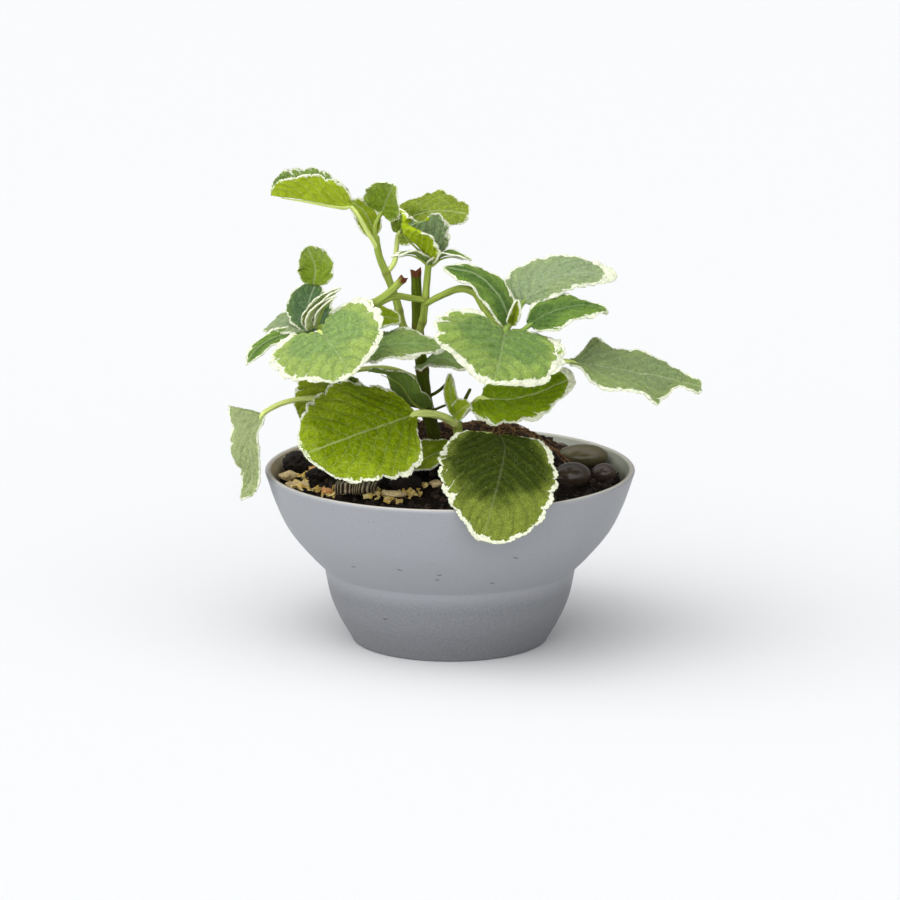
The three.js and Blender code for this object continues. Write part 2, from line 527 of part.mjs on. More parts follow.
// A blade: two faces split into triangles alike, and the edge between them.
function bladeSolid(leaf) {
  const midrib = curveOf(leaf.midrib);
  const columns = leaf.width < NARROW ? NARROW_COLUMNS : COLUMNS;
  const rows = 2 * leaf.teeth;
  const upper = [];
  const lower = [];
  for (let row = 0; row <= rows; row++) {
    const t = row / rows;
    const s = 0.5 * t + 0.25 * (1 - Math.cos(Math.PI * t)); // closer together at both ends
    for (const u of columns) {
      const { point, normal } = bladePoint(leaf, midrib, s, u, row);
      upper.push(point.clone().addScaledVector(normal, BLADE_THICKNESS / 2));
      lower.push(point.clone().addScaledVector(normal, -BLADE_THICKNESS / 2));
    }
  }
  const across = columns.length;
  const positions = [];
  const triangle = (a, b, c) => positions.push(...a.toArray(), ...b.toArray(), ...c.toArray());
  for (let row = 0; row < rows; row++) {
    for (let column = 0; column < across - 1; column++) {
      const a = row * across + column;
      const b = a + 1;
      const c = a + across;
      const d = c + 1;
      triangle(upper[a], upper[b], upper[d]);
      triangle(upper[a], upper[d], upper[c]);
      triangle(lower[a], lower[d], lower[b]);
      triangle(lower[a], lower[c], lower[d]);
    }
  }
  const edge = [];
  for (let column = 0; column < across - 1; column++) edge.push(column);
  for (let row = 0; row < rows; row++) edge.push(row * across + across - 1);
  for (let column = across - 1; column > 0; column--) edge.push(rows * across + column);
  for (let row = rows; row > 0; row--) edge.push(row * across);
  edge.forEach((a, i) => {
    const b = edge[(i + 1) % edge.length];
    triangle(upper[a], lower[a], lower[b]);
    triangle(upper[a], lower[b], upper[b]);
  });
  const geometry = new THREE.BufferGeometry();
  geometry.setAttribute("position", new THREE.Float32BufferAttribute(positions, 3));
  return solidOf(geometry);
}

// A blade with its petiole, which ends inside the first part of the blade.
function leafSolid(leaf) {
  const blade = bladeSolid(leaf);
  if (!leaf.petiole) return blade;
  const end = curveOf(leaf.midrib).getPointAt(PETIOLE_SUNK).toArray();
  const route = [...leaf.petiole, end];
  const radius = PETIOLE_RADIUS * (leaf.width < NARROW ? 0.7 : 1);
  return blade.add(stemSolid(route, radius, radius * 0.6));
}

// ---- The plant ----
const stemSolids = Object.fromEntries(
  Object.entries(STEMS).map(([name, { route, radius }]) => [name, stemSolid(route, ...radius)]),
);

// A stem's own shape grown by the clearance all round, to cut from what stands against it.
function clearedStem(name) {
  const { route, radius } = STEMS[name];
  const knots = route.map((point) => new THREE.Vector3(...point));
  const last = knots.length - 1;
  knots[0].add(knots[0].clone().sub(knots[1]).setLength(CLEARANCE));
  knots[last].add(knots[last].clone().sub(knots[last - 1]).setLength(CLEARANCE));
  return stemSolid(knots.map((knot) => knot.toArray()), ...radius, CLEARANCE);
}

function shootSolid(name) {
  let solid = stemSolids[name];
  for (const leaf of SMALL_LEAVES.filter(({ on }) => on === name)) {
    solid = solid.add(leafSolid(leaf));
  }
  if (PRUNED_BRANCH.on === name) {
    solid = solid.add(stemSolid(PRUNED_BRANCH.route, ...PRUNED_BRANCH.radius));
  }
  const parent = STEMS[name].from;
  return mainBody(parent ? solid.subtract(clearedStem(parent)) : solid);
}

const plant = new THREE.Group();
for (const [name, { slot }] of Object.entries(STEMS)) plant.add(meshOf(name, slot, shootSolid(name)));
for (const [name, leaf] of Object.entries(LARGE_LEAVES)) {
  plant.add(meshOf(name, leaf.slot, mainBody(leafSolid(leaf).subtract(clearedStem(leaf.on)))));
}

// ---- The pot and what fills it ----
// A lathe turns about Y, so the pot and the soil are stood up on Z here.
const UPRIGHT = [90, 0, 0];
let soil = soilSolid().rotate(UPRIGHT);
soil = soil.subtract(clearedStem("main_stem")).subtract(clearedStem("shoot_front"));

const toppings = new THREE.Group();
for (const [name, lump] of Object.entries({ ...PEBBLES, ...BARK_LUMPS })) {
  toppings.add(meshOf(name, name in PEBBLES ? "pebble" : "bark", lumpSolid(lump)));
  soil = soil.subtract(lumpSolid(lump, CLEARANCE));
}
for (const [name, scrap] of Object.entries(SCRAPS)) {
  toppings.add(meshOf(name, "chip", scrapSolid(scrap)));
  soil = soil.subtract(scrapSolid(scrap, CLEARANCE));
}

const potGroup = new THREE.Group();
potGroup.add(meshOf("pot", "pot", potSolid().rotate(UPRIGHT)));
potGroup.add(meshOf("soil", "soil", mainBody(soil)));

const part = new THREE.Group();
part.add(potGroup, toppings, plant);

export default part;
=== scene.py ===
"""A variegated plectranthus in a grey bowl pot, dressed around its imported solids.

Lengths in the tables below are millimetres in the part's own frame, and every mesh is in metres.
+Z is up, the front faces -Y, and the origin is the centre of the pot's foot.
"""

import math
import random

import bpy
import numpy as np
from mathutils import Euler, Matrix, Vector, noise


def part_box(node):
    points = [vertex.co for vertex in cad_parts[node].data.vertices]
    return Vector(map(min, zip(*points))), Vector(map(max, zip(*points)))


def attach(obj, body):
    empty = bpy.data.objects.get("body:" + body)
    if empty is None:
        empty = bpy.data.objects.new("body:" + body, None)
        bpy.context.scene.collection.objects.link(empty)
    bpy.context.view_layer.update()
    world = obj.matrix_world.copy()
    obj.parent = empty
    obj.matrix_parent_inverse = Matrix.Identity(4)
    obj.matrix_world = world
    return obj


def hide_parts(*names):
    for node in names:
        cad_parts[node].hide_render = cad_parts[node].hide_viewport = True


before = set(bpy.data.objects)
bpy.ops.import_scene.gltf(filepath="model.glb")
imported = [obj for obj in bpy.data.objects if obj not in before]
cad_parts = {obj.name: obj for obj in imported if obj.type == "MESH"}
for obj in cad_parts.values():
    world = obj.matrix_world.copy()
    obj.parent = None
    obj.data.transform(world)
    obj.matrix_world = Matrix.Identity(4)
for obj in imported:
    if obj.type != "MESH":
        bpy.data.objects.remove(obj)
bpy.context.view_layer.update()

bl_info = {
    "name": "Potted Plectranthus",
    "version": (1, 0, 0),
    "blender": (4, 5, 0),
    "location": "View3D > Sidebar > Plectranthus",
    "description": "Builds the pot, soil, stems and variegated leaves of one potted plant",
    "category": "Object",
}

MM = 0.001
TAU = 2 * math.pi
BODY = "root"
POT_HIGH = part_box("pot")[1]
RIM_RADIUS = POT_HIGH.x / MM
POT_HEIGHT = POT_HIGH.z / MM

# ---- The photograph's camera ----
ELEVATION = math.radians(13)
DISTANCE = 2.2
AIM_HEIGHT = 0.0933
LENS = 180.84
SENSOR_WIDTH = 36
PHOTO_SIZE = 900  # pixels each way
POT_AXIS = 449.7  # how many pixels across the photograph the pot's axis lies

# ---- The pot's outline, from the foot up: (radius, height) ----
FOOT_RADIUS = 48.3
FOOT_ROUNDING = 1.0
LIP_ROUNDING = 1.2
BASE_KNOTS = [(FOOT_RADIUS, FOOT_ROUNDING), (54, 11), (58.3, 21), (60.9, 33)]
WAIST_KNOTS = [(61.15, 35.0), (61.6, 36.4)]
BOWL_KNOTS = [(61.6, 36.4), (69, 44), (79, 56.5), (85, 69), (RIM_RADIUS, POT_HEIGHT - LIP_ROUNDING)]
POT_FLOOR = 4.0

# ---- The soil ----
SOIL_LEVEL = 77.5
SOIL_RELIEF = 1.6
MOUND_HEIGHT = 22.5
MOUND_AT = (2, 26)
MOUND_HALF_WIDTH = 52
MOUND_FRONT = 46
MOUND_BACK = 38
SOIL_RADIUS = 84.0
SOIL_BOTTOM = 4.6
SOIL_SIDES, SOIL_RINGS = 220, 110
TOP_SHARE = 0.86  # of the rings, the rest go down the wall and over the bottom
WALL_SHARE = 0.85  # of that rest
SOIL_WALL = [(SOIL_BOTTOM, 45), (11, 50.4), (21, 54.8), (33, 57.4), (36.5, 58), (44, 65),
             (56.5, 75), (69, 81.2), (77, SOIL_RADIUS)]  # (height, radius)

PEBBLES = {
    "pebble_olive": dict(at=(65, 31, 83), size=(26, 15, 12), turn=8, tint=(0.1, 0.085, 0.04)),
    "pebble_dark": dict(at=(59, -9, 82.5), size=(19, 17, 13), turn=30, tint=(0.05, 0.034, 0.024)),
    "pebble_plum": dict(at=(75, 4, 80.5), size=(12.5, 13, 10), turn=-20, tint=(0.06, 0.038, 0.03)),
    "pebble_back": dict(at=(54, 52, 81), size=(13, 9, 8), turn=50, tint=(0.12, 0.08, 0.055)),
}

BARK_LUMPS = {
    "bark_lump_left": dict(at=(-75, 20, 82), size=(13, 14, 12), turn=10),
    "bark_lump_inner": dict(at=(-64, 1, 81), size=(13, 10, 7), turn=40),
    "bark_lump_front": dict(at=(-21, -31, 84.3), size=(17, 12, 8), turn=-25),
}

CHIPS = {
    "wood_chip_amber": dict(at=(-65, 13, 80), size=(9, 6, 3.4), turn=60, tilt=14, tone="amber"),
    "wood_chip_left": dict(at=(-79, 4, 79.6), size=(11, 6, 3), turn=-35, tilt=10, tone="straw"),
    "wood_chip_cream": dict(at=(-74, -15, 79.4), size=(13, 5, 2.6), turn=70, tilt=-8, tone="straw"),
    "wood_chip_small": dict(at=(-59, -29, 79.8), size=(8, 5, 2.6), turn=20, tilt=6, tone="amber"),
    "wood_chip_centre": dict(at=(-27, -42, 81.6), size=(13, 5, 2.8), turn=65, tilt=8, tone="straw"),
    "wood_chip_pale": dict(at=(-7, -31, 83.9), size=(8, 5, 2.6), turn=15, tilt=-6, tone="straw"),
}
HUSK = dict(at=(-45, -35, 82.4), size=(21, 11, 6), turn=82, tilt=8)
HUSK_RIBS = 14
HUSK_UNEVEN = 13.0  # how fast the spacing of the ribs changes along the husk
HUSK_TONES = (0.035, 0.02, 0.01), (0.46, 0.38, 0.24)
HUSK_BLOTCH = (0.1, 0.055, 0.025)
# Pairs of a dark and a light tone.
BARK = (0.006, 0.004, 0.003), (0.035, 0.022, 0.014)
PEAT_CRUMBS = (0.004, 0.0025, 0.0015), (0.035, 0.018, 0.009)
STRAW = (0.62, 0.38, 0.04), (0.92, 0.76, 0.34)
DRY_SOIL = (0.02, 0.009, 0.004), (0.085, 0.045, 0.018)
CHIP_TONES = {
    "straw": ((0.42, 0.27, 0.09), (0.78, 0.62, 0.34)),
    "amber": ((0.36, 0.13, 0.03), (0.72, 0.36, 0.12)),
}
LUMP_DETAIL = 5  # how often a lump's ball is divided
WORN = ((1.3, 0.05, 0),)  # a pebble's roughness: (size, height, shift of the seed)
CRUMBLED = ((0.35, 0.22, 0), (0.12, 0.1, 9))

# ---- Stems: route from root to end, radius at both ends ----
STEMS = {
    "main_stem": dict(slot="stem", radius=(3.9, 2.4), cut=True, nodes=(0.2, 0.42, 0.6, 0.78),
        route=[(-4, 0, 60), (-6, 0, 84), (-8, 0, 101), (-11.5, 0, 117), (-14, 0, 138),
               (-15.5, 0, 153), (-16, 0, 168), (-16.5, 0, 182)]),
    "shoot_front": dict(slot="shoot", radius=(2.3, 2.1), nodes=(0.55, 0.85),
        route=[(5, -13, 62), (4, -12, 84), (4, -12, 101), (3, -12, 115)]),
    "shoot_top_centre": dict(slot="shoot", radius=(1.9, 1.6), nodes=(0.2, 0.5),
        route=[(-15, -1, 152), (-13, -6, 159), (-12, -8, 169), (-11, -8, 179), (-10, -8, 190)]),
    "shoot_top_left": dict(slot="shoot", radius=(2.1, 1.7), nodes=(0.4, 0.7),
        route=[(-13.5, 1, 139), (-19, 6, 147), (-23, 7, 154), (-26, 8, 166), (-30, 8, 177),
               (-34, 8, 187), (-36, 8, 198)]),
    "shoot_left": dict(slot="shoot", radius=(1.5, 2), nodes=(0.85,),
        route=[(-12, -8, 169), (-19, -12, 171), (-26, -15, 172.5), (-33, -17, 170), (-40, -17, 165),
               (-50, -16, 160), (-64, -15, 156)]),
    "shoot_right": dict(slot="shoot", radius=(1.5, 2.2), nodes=(0.9,),
        route=[(-12, -8, 167), (-5, -13, 172), (5, -20, 177), (12, -26, 176), (17, -31, 169),
               (23, -34, 164), (29, -36, 161)]),
}
PRUNED_BRANCH = dict(on="shoot_left", radius=(2, 1.8), nodes=(0.5,),
    route=[(-52, -16, 160), (-46, -17, 167.5), (-38, -18, 169), (-30, -18, 174), (-22, -18, 182)])

# ---- Leaves ----
# look: the leaf's colouring. midrib: its route from base to tip. width: of the whole blade. teeth:
# on each side. up: the way the upper face looks. fold, curl: the raise of each half and its further
# bend, in degrees. wave: height of the edge's waves. lobe: how far the base reaches back. halves:
# the width of each half against the mean. broadest: where along it the blade is widest. edge: horns
# and notches as (half, where, how much wider, over how far). petiole: the route up to the blade.
# stalk: half its thickness. sunk: how deep it lies under the blade. green_stalk: it isn't pale.
# A pair holds one value for each half.
LARGE_LEAVES = {
    "leaf_right_front": dict(slot="leaf_lime", look="sage_lime", width=60, teeth=8,
        up=(0.24, -0.46, 0.86), fold=15, curl=-22, wave=1.6, lobe=8, halves=(0.94, 1.06), stalk=1.6,
        sunk=1.4, green_stalk=True,
        petiole=[(27, -36, 160), (27, -42, 162.5), (26, -48, 162)],
        midrib=[(26, -48, 162), (25, -59, 159), (23, -71, 152), (20, -84, 144)]),
    "leaf_right_side": dict(slot="leaf_sage", look="deep_green", width=34, teeth=7,
        up=(0, -0.18, 1), fold=4, curl=-8, wave=1, broadest=(0.42, 0.3), halves=(0.84, 1),
        stalk=1.3, sunk=1.2, green_stalk=True,
        petiole=[(29, -36, 159.5), (34, -37.5, 160), (38, -38, 163)],
        midrib=[(38, -38, 163), (47, -36, 168.5), (61, -31, 171), (75, -25, 167.5)]),
    "leaf_right_back": dict(slot="leaf_sage", look="pale_sage", width=46, teeth=8,
        up=(-0.15, -0.35, 0.93), fold=8, curl=-12, wave=0.5, lobe=0, halves=(0.8, 0.66), stalk=1.3,
        sunk=1.2, green_stalk=True,
        petiole=[(27, -35, 161), (30, -27, 163), (35, -19, 170)],
        midrib=[(35, -19, 170), (43, -10, 177.5), (58, -2, 181), (80, 4, 179)]),
    "leaf_right_far": dict(slot="leaf_sage", look="dull_sage", width=39, teeth=8,
        up=(0, -0.34, 0.94), fold=8, curl=-14, wave=1.1, broadest=0.42, stalk=1.3,
        edge=[(-1, 0.02, -0.6, 0.07), (-1, 0.17, 0.3, 0.06), (-1, 0.95, -0.35, 0.08),
              (1, 0.06, -0.6, 0.1), (1, 0.6, 0.3, 0.08), (1, 0.82, -0.55, 0.1)],
        petiole=[(21, -33, 165), (27, -34, 156), (38, -39, 150), (47, -42, 147.5), (57, -42, 146)],
        midrib=[(57, -42, 146), (76, -42, 143), (98, -38, 138), (120, -34, 132)]),
    "leaf_left_front": dict(slot="leaf_sage", look="bright_sage", width=56, teeth=8,
        up=(-0.2, -0.5, 0.87), fold=(22, 10), curl=-16, wave=1.2, lobe=(12, 8), halves=(0.95, 1.02),
        stalk=1.6,
        petiole=[(-64, -15, 153.5), (-63, -24, 153.5), (-62, -34, 158.6)],
        midrib=[(-62, -34, 158.6), (-58, -44, 157), (-53, -55, 152.5), (-46, -67, 144.5)]),
    "leaf_left_inner": dict(slot="leaf_lime", look="sage", width=34, teeth=7, up=(0, -0.22, 1),
        fold=6, curl=-14, wave=1.2, lobe=2, stalk=1.3,
        petiole=[(-60, -19, 156), (-54, -23, 151), (-46, -26, 149)],
        midrib=[(-46, -26, 149), (-33, -28, 151), (-18, -28, 152), (-3, -28, 150)]),
    "leaf_front_left": dict(slot="leaf_lime", look="lime", width=57, teeth=9,
        up=(-0.1, -0.75, 0.65), fold=8, curl=-14, wave=1.8, lobe=(-3, -2), broadest=(0.42, 0.46),
        edge=[(-1, 0.03, -0.5, 0.12)],
        stalk=2.1, sunk=1.2,
        petiole=[(3, -13, 109), (-3, -19, 114), (-10, -25, 117), (-16.5, -29, 117.5)],
        midrib=[(-16.5, -29, 117.5), (-31, -40, 115), (-44, -48, 112), (-57, -55, 108.5),
                (-69, -60, 105)]),
    "leaf_front_right": dict(slot="leaf_lime", look="backlit", width=31, teeth=8,
        up=(0, -0.65, 0.75), fold=10, curl=-10, wave=1.4, lobe=2, stalk=1.5,
        petiole=[(5, -11, 112), (10, -14, 118), (15, -22, 124)],
        midrib=[(15, -22, 124), (28, -30, 125), (43, -36, 130), (59, -40, 138)]),
    "leaf_front_hanging": dict(slot="leaf_dark", look="dark", width=57, teeth=9,
        up=(0, -0.35, 0.94), fold=4, curl=-16, wave=1.4, lobe=(0, 7), broadest=(0.54, 0.32),
        halves=(0.9, 1.02), stalk=1.8, sunk=2.3,
        petiole=[(4, -13, 103), (13, -27, 107), (21, -40, 109)],
        midrib=[(24, -43, 110.5), (26, -56, 107), (24, -72, 99.5), (21, -86, 91), (18, -96, 82),
                (15, -100, 73)]),
    "leaf_left_hanging": dict(slot="leaf_sage", look="wilting", width=27, teeth=8,
        up=(-0.7, -0.5, 0.4), fold=14, curl=-10, wave=0.6, lobe=(0, -6), broadest=(0.5, 0.2),
        halves=(0.6, 1), edge=[(1, 0.03, 0.7, 0.12)], stalk=1.5,
        petiole=[(-12, 0, 117), (-24, -1, 122), (-41, -12, 124), (-58, -17, 123), (-73, -18, 122.5),
                 (-83, -20, 120), (-90, -22, 116)],
        midrib=[(-90, -22, 116), (-95, -23, 107.5), (-96, -24, 99), (-95, -25, 89), (-96, -25, 82),
                (-101, -24, 75)]),
    "leaf_left_behind": dict(slot="leaf_dark", look="shaded", width=34, teeth=7,
        up=(-0.3, -0.8, 0.5), fold=6, curl=-10, wave=1.2, lobe=2, stalk=1.4,
        petiole=[(-11, 2, 126), (-30, 4, 133), (-51, 2, 131)],
        midrib=[(-51, 2, 131), (-60, 0, 120), (-70, -2, 106)]),
    "leaf_top_left": dict(slot="leaf_lime", look="lime_fold", width=31, teeth=7, up=(0, -0.04, 1),
        fold=54, curl=6, wave=0.6, lobe=0, broadest=0.52, stalk=1.2,
        petiole=[(-35, 8, 191), (-39, 5, 199), (-48, 2, 213)],
        midrib=[(-48, 2, 213), (-61, 0, 215.5), (-74, -3, 218), (-86, -6, 220)]),
    "leaf_top_right": dict(slot="leaf_sage", look="olive", width=34, teeth=8, up=(-0.1, -0.4, 0.9),
        fold=6, curl=-18, wave=1.2, lobe=2, stalk=1.3,
        petiole=[(-31, 8, 179), (-27, 10, 184), (-26, 12, 190), (-25, 13, 197.5)],
        midrib=[(-25, 13, 197.5), (-20, 12, 204.8), (-8, 10, 209.4), (9, 6, 208.4)]),
}

SMALL_LEAVES = {
    "shoot_right": [
        dict(look="deep_green", width=17, teeth=5, up=(0.25, -0.5, 0.8), fold=-8, wave=0.8,
            midrib=[(29, -36, 163), (23, -32, 176), (13, -28, 185), (-3, -22, 188)]),
        dict(look="lime", width=8, teeth=3, up=(0, -1, 0.2), fold=50, wave=0,
            midrib=[(29, -35, 163), (31, -37, 169), (32, -37, 175)]),
    ],
    "shoot_left": [
        dict(look="deep_green", width=19, teeth=5, up=(-0.25, -0.35, 0.9), fold=14, curl=-8,
            wave=0.8, halves=(0.95, 0.5),
            midrib=[(-66, -15, 156), (-82, -18, 153.5), (-92, -22, 148.5), (-97.5, -25, 141)]),
        dict(look="pale_sage", width=24, teeth=5, up=(-0.1, -0.35, 1), fold=10, curl=-8, wave=0.8,
            midrib=[(-65, -15, 156), (-78, -4, 158), (-89, 4, 153)]),
        dict(look="grey_green", width=21, teeth=5, up=(0, -0.8, 0.5), fold=12, wave=0.8,
            midrib=[(-64, -15, 156), (-68, -4, 166), (-65, 2, 175)]),
        dict(look="cream_edged", width=10, teeth=8, up=(-0.75, -0.6, 0.2), fold=72, wave=0.4,
            midrib=[(-66, -16, 157), (-66, -20, 163), (-60, -23, 171), (-52, -25, 178)]),
        dict(look="cream_edged", width=7, teeth=7, up=(-0.6, -0.7, 0.2), fold=72, wave=0.3,
            midrib=[(-64, -17, 159), (-61, -23, 168), (-54, -28, 175)]),
        dict(look="lime", width=20, teeth=5, up=(0, -0.3, 1), fold=8, curl=-6, wave=0.6,
            midrib=[(-66, -15, 154), (-70, -22, 143), (-75, -30, 139), (-81, -34, 139)]),
        dict(look="soft_lime", width=17, teeth=5, up=(0, -1, 0.3), fold=14, wave=0.6,
            petiole=[(-64, -13, 156), (-61, 5, 160), (-64, 9, 168), (-66, 4, 175)],
            stalk=1,
            midrib=[(-66, 1, 175), (-65, 3, 183), (-69, 4, 193)]),
        dict(look="lime", width=20, teeth=5, up=(0, -0.5, 0.85), fold=8, curl=-6, wave=0.8,
            midrib=[(-56, -19, 158), (-40, -13, 162), (-24, -10, 160)]),
    ],
    "shoot_front": [
        # two buds in painted backlight
        dict(look="bud", width=6.5, teeth=4, up=(0, -1, 0.2), fold=22, wave=0.3,
            midrib=[(3, -12, 113), (0, -10, 124), (0, -8, 133)]),
        dict(look="bud", width=10, teeth=3, up=(0, -0.85, 0.5), fold=16, wave=0.4,
            midrib=[(3, -14, 114), (6, -19, 118), (10, -23, 121)]),
        dict(look="lime", width=20, teeth=5, up=(-0.3, -0.6, 0.7), fold=12, curl=-8, wave=0.8,
            midrib=[(3, -13, 97), (-9, -24, 96), (-20, -32, 91)]),
    ],
    "shoot_top_left": [
        dict(look="lime", width=12, teeth=4, up=(-0.5, -0.6, 0.6), fold=14, wave=0.5,
            midrib=[(-36, 9, 198), (-41, 14, 208), (-48, 18, 213)]),
        dict(look="soft_lime", width=21, teeth=5, up=(0, -0.8, 0.6), fold=20, wave=0.6,
            petiole=[(-36, 8, 196), (-36, 8, 203), (-33, 8, 209)],
            stalk=1.2,
            midrib=[(-33, 8, 209), (-30, 4, 217), (-27, 0, 224)]),
    ],
    "shoot_top_centre": [
        dict(look="sage_cup", width=34, teeth=7, up=(0.6, 0, 0.75), fold=(34, 96), wave=0.6,
            halves=(0.85, 1), broadest=(0.55, 0.45),
            midrib=[(-9.5, -8, 188), (-16, -12, 197), (-22, -16, 203.5), (-23, -18, 208),
                    (-20, -19, 211.5)]),
        dict(look="deep_green", width=7, teeth=3, up=(-0.2, 0, 1), fold=20, wave=0.3,
            midrib=[(-10, -8, 187), (-18, -14, 193), (-28, -18, 192)]),
        dict(look="deep_green", width=9, teeth=3, up=(0, 0, 1), fold=20, wave=0.3,
            midrib=[(-10, -8, 186), (-2, -12, 192), (10, -16, 190)]),
    ],
    "main_stem": [
        dict(look="sage", width=18, teeth=5, up=(0, -0.4, 0.9), fold=10, curl=-8, wave=0.7,
            midrib=[(-14, -1, 136), (-2, -12, 141), (8, -20, 138)]),
        dict(look="plain_green", width=14, teeth=5, up=(-0.3, 0.2, 1), fold=18, wave=0.7,
            midrib=[(-11, -1, 113), (-19, -10, 121), (-27, -16, 133), (-39, -20, 137)]),
    ],
}

# Thin twigs and bare petioles by the main stem: (route, radius at both ends).
TWIGS = [
    ([(-12, 0, 119), (-5, -4, 124), (1, -7, 131)], (0.9, 0.7)),
    ([(-10.5, 0, 112), (-3, -3, 116), (4, -5, 119)], (0.8, 0.4)),
    ([(-9.5, 0, 108), (-4, -3, 110.5), (1, -5, 111)], (0.8, 0.35)),
    ([(4, -12, 113), (7, -10, 120), (10, -9, 126)], (1.1, 0.8)),
]

BROADEST_AT = 0.4
TOOTH_DEPTH = 0.042  # share of the half width
FINE_TOOTH_DEPTH = 0.65  # millimetres
FINE_TEETH = 4  # small teeth to each large one
CELL = 0.7  # size of a blade's mesh squares
VEIN_SLANT = 0.42  # how far a side vein runs forward on its way to the edge, as a share of the midrib

# middle, zone, under: the green, the paler zone round it and the lower face. zone_width, cream: how
# broad the zone and the cream edge are. velvet: sheen. veins, rib, valley: how pale the veins and
# the midrib are, and how dark the painted shade in the strips along them. tip, pale_tip: how far
# from the base the tip turns to the zone's colour, or to cream. spike: how far cream runs in along a vein.
LOOKS = {
    "sage_lime": dict(middle=(0.135, 0.235, 0.045), zone=(0.27, 0.38, 0.07),
        under=(0.2, 0.29, 0.09), zone_width=8, cream=3.4, velvet=0.08, rib=0.35),
    "bright_sage": dict(middle=(0.2, 0.315, 0.08), zone=(0.32, 0.43, 0.09), under=(0.22, 0.3, 0.08),
        zone_width=8, cream=2.4, velvet=0.08, rib=0.35),
    "pale_sage": dict(middle=(0.25, 0.335, 0.155), zone=(0.27, 0.355, 0.14), under=(0.2, 0.28, 0.1),
        zone_width=6, cream=1.2, velvet=0.12, veins=0.35, pale_tip=41),
    "dull_sage": dict(middle=(0.19, 0.265, 0.09), zone=(0.23, 0.31, 0.09), under=(0.2, 0.27, 0.11),
        zone_width=6, cream=1.2, velvet=0.1),
    "sage": dict(middle=(0.215, 0.34, 0.08), zone=(0.27, 0.38, 0.09), under=(0.17, 0.24, 0.08),
        zone_width=5, cream=2.3, velvet=0.08),
    "grey_green": dict(middle=(0.07, 0.14, 0.05), zone=(0.13, 0.22, 0.05), under=(0.17, 0.24, 0.08),
        zone_width=3, cream=0.7, velvet=0.08),
    "deep_green": dict(middle=(0.07, 0.15, 0.02), zone=(0.16, 0.27, 0.035),
        under=(0.15, 0.22, 0.05), zone_width=6, cream=1.6, velvet=0.04),
    "lime": dict(middle=(0.165, 0.235, 0.001), zone=(0.27, 0.36, 0.012), under=(0.19, 0.28, 0.02),
        zone_width=9, cream=1.5, veins=0.3, valley=0.15, spike=2.0),
    "soft_lime": dict(middle=(0.2, 0.3, 0.02), zone=(0.27, 0.37, 0.06), under=(0.19, 0.28, 0.02),
        zone_width=5, cream=0.3),
    "backlit": dict(middle=(0.15, 0.24, 0.001), zone=(0.22, 0.32, 0.004), under=(0.13, 0.2, 0.006),
        zone_width=6, cream=1.3, veins=0.24, valley=0.2, pale_tip=41),
    "dark": dict(middle=(0.033, 0.05, 0.003), zone=(0.2, 0.25, 0.035), under=(0.12, 0.18, 0.03),
        zone_width=3, cream=1.8, tip=48, veins=0.1, rib=0.15, valley=0.2),
    "wilting": dict(middle=(0.31, 0.37, 0.15), zone=(0.33, 0.41, 0.16), under=(0.24, 0.3, 0.13),
        zone_width=4, cream=0.8, velvet=0.08),
    "shaded": dict(middle=(0.06, 0.12, 0.005), zone=(0.24, 0.3, 0.012), under=(0.07, 0.11, 0.006),
        zone_width=4, cream=0.8, tip=10),
    "plain_green": dict(middle=(0.17, 0.26, 0.045), zone=(0.2, 0.3, 0.06), under=(0.12, 0.19, 0.03),
        zone_width=5, cream=0.2),
    # bud: painted light, the buds' colours raised to stand for light shining through them
    "bud": dict(middle=(0.38, 0.5, 0.02), zone=(0.46, 0.58, 0.06), under=(0.2, 0.3, 0.02),
        zone_width=2, cream=0.7, veins=0.1),
    # lime_fold: its underside painted bright and saturated, as light shining through it
    "lime_fold": dict(middle=(0.17, 0.25, 0.06), zone=(0.24, 0.35, 0.08), under=(0.33, 0.42, 0.02),
        zone_width=3, cream=0.8),
    "olive": dict(middle=(0.1, 0.16, 0.006), zone=(0.25, 0.32, 0.035), under=(0.1, 0.16, 0.01),
        zone_width=12, cream=0.6, tip=24, veins=0.4),
    # sage_cup: the middle painted lighter against the shade on the cup's far half; the lime underside
    # painted as light shining through
    "sage_cup": dict(middle=(0.24, 0.33, 0.15), zone=(0.26, 0.36, 0.15), under=(0.27, 0.36, 0.006),
        zone_width=3, cream=1.4),
    "cream_edged": dict(middle=(0.2, 0.27, 0.07), zone=(0.3, 0.37, 0.12), under=(0.38, 0.46, 0.2),
        zone_width=1, cream=1.1, veins=0.1),
}
CREAM = (0.77, 0.79, 0.6)
SPIKE = 4.5  # how far cream runs in along a vein, unless the look says
PALE_TIP = 4.5  # how much broader the cream is at a pale tip
TIP_FADE = 10
BURNT = (0.3, 0.12, 0.03)  # specks on the cream edge
DOWN = (0.5, 0.56, 0.3)
OLD_FOOT = (0.03, 0.03, 0.001)  # the main stem near the soil
CORK = (0.035, 0.008, 0.003), (0.16, 0.05, 0.018)
PALE_PETIOLE = (0.52, 0.59, 0.18)
GREEN_PETIOLE = (0.2, 0.29, 0.06)
CELLS_PER_MM = 0.95  # meshes of the net of fine veins
BRANCHES_PER_MM = 0.24  # branches of the side veins


# ---- Settings ----
def length_setting(name, description, default):
    """A length in metres."""
    return bpy.props.FloatProperty(name=name, description=description, default=default, unit="LENGTH")


def amount_setting(name, description, default):
    """A number that can't go below nought."""
    return bpy.props.FloatProperty(name=name, description=description, default=default, min=0)


def count_setting(name, description, default, least=0):
    """A whole number."""
    return bpy.props.IntProperty(name=name, description=description, default=default, min=least)


def colour_setting(name, description, default):
    """A colour, as linear red, green and blue."""
    return bpy.props.FloatVectorProperty(
        name=name, description=description, default=default, subtype="COLOR", min=0, max=1)


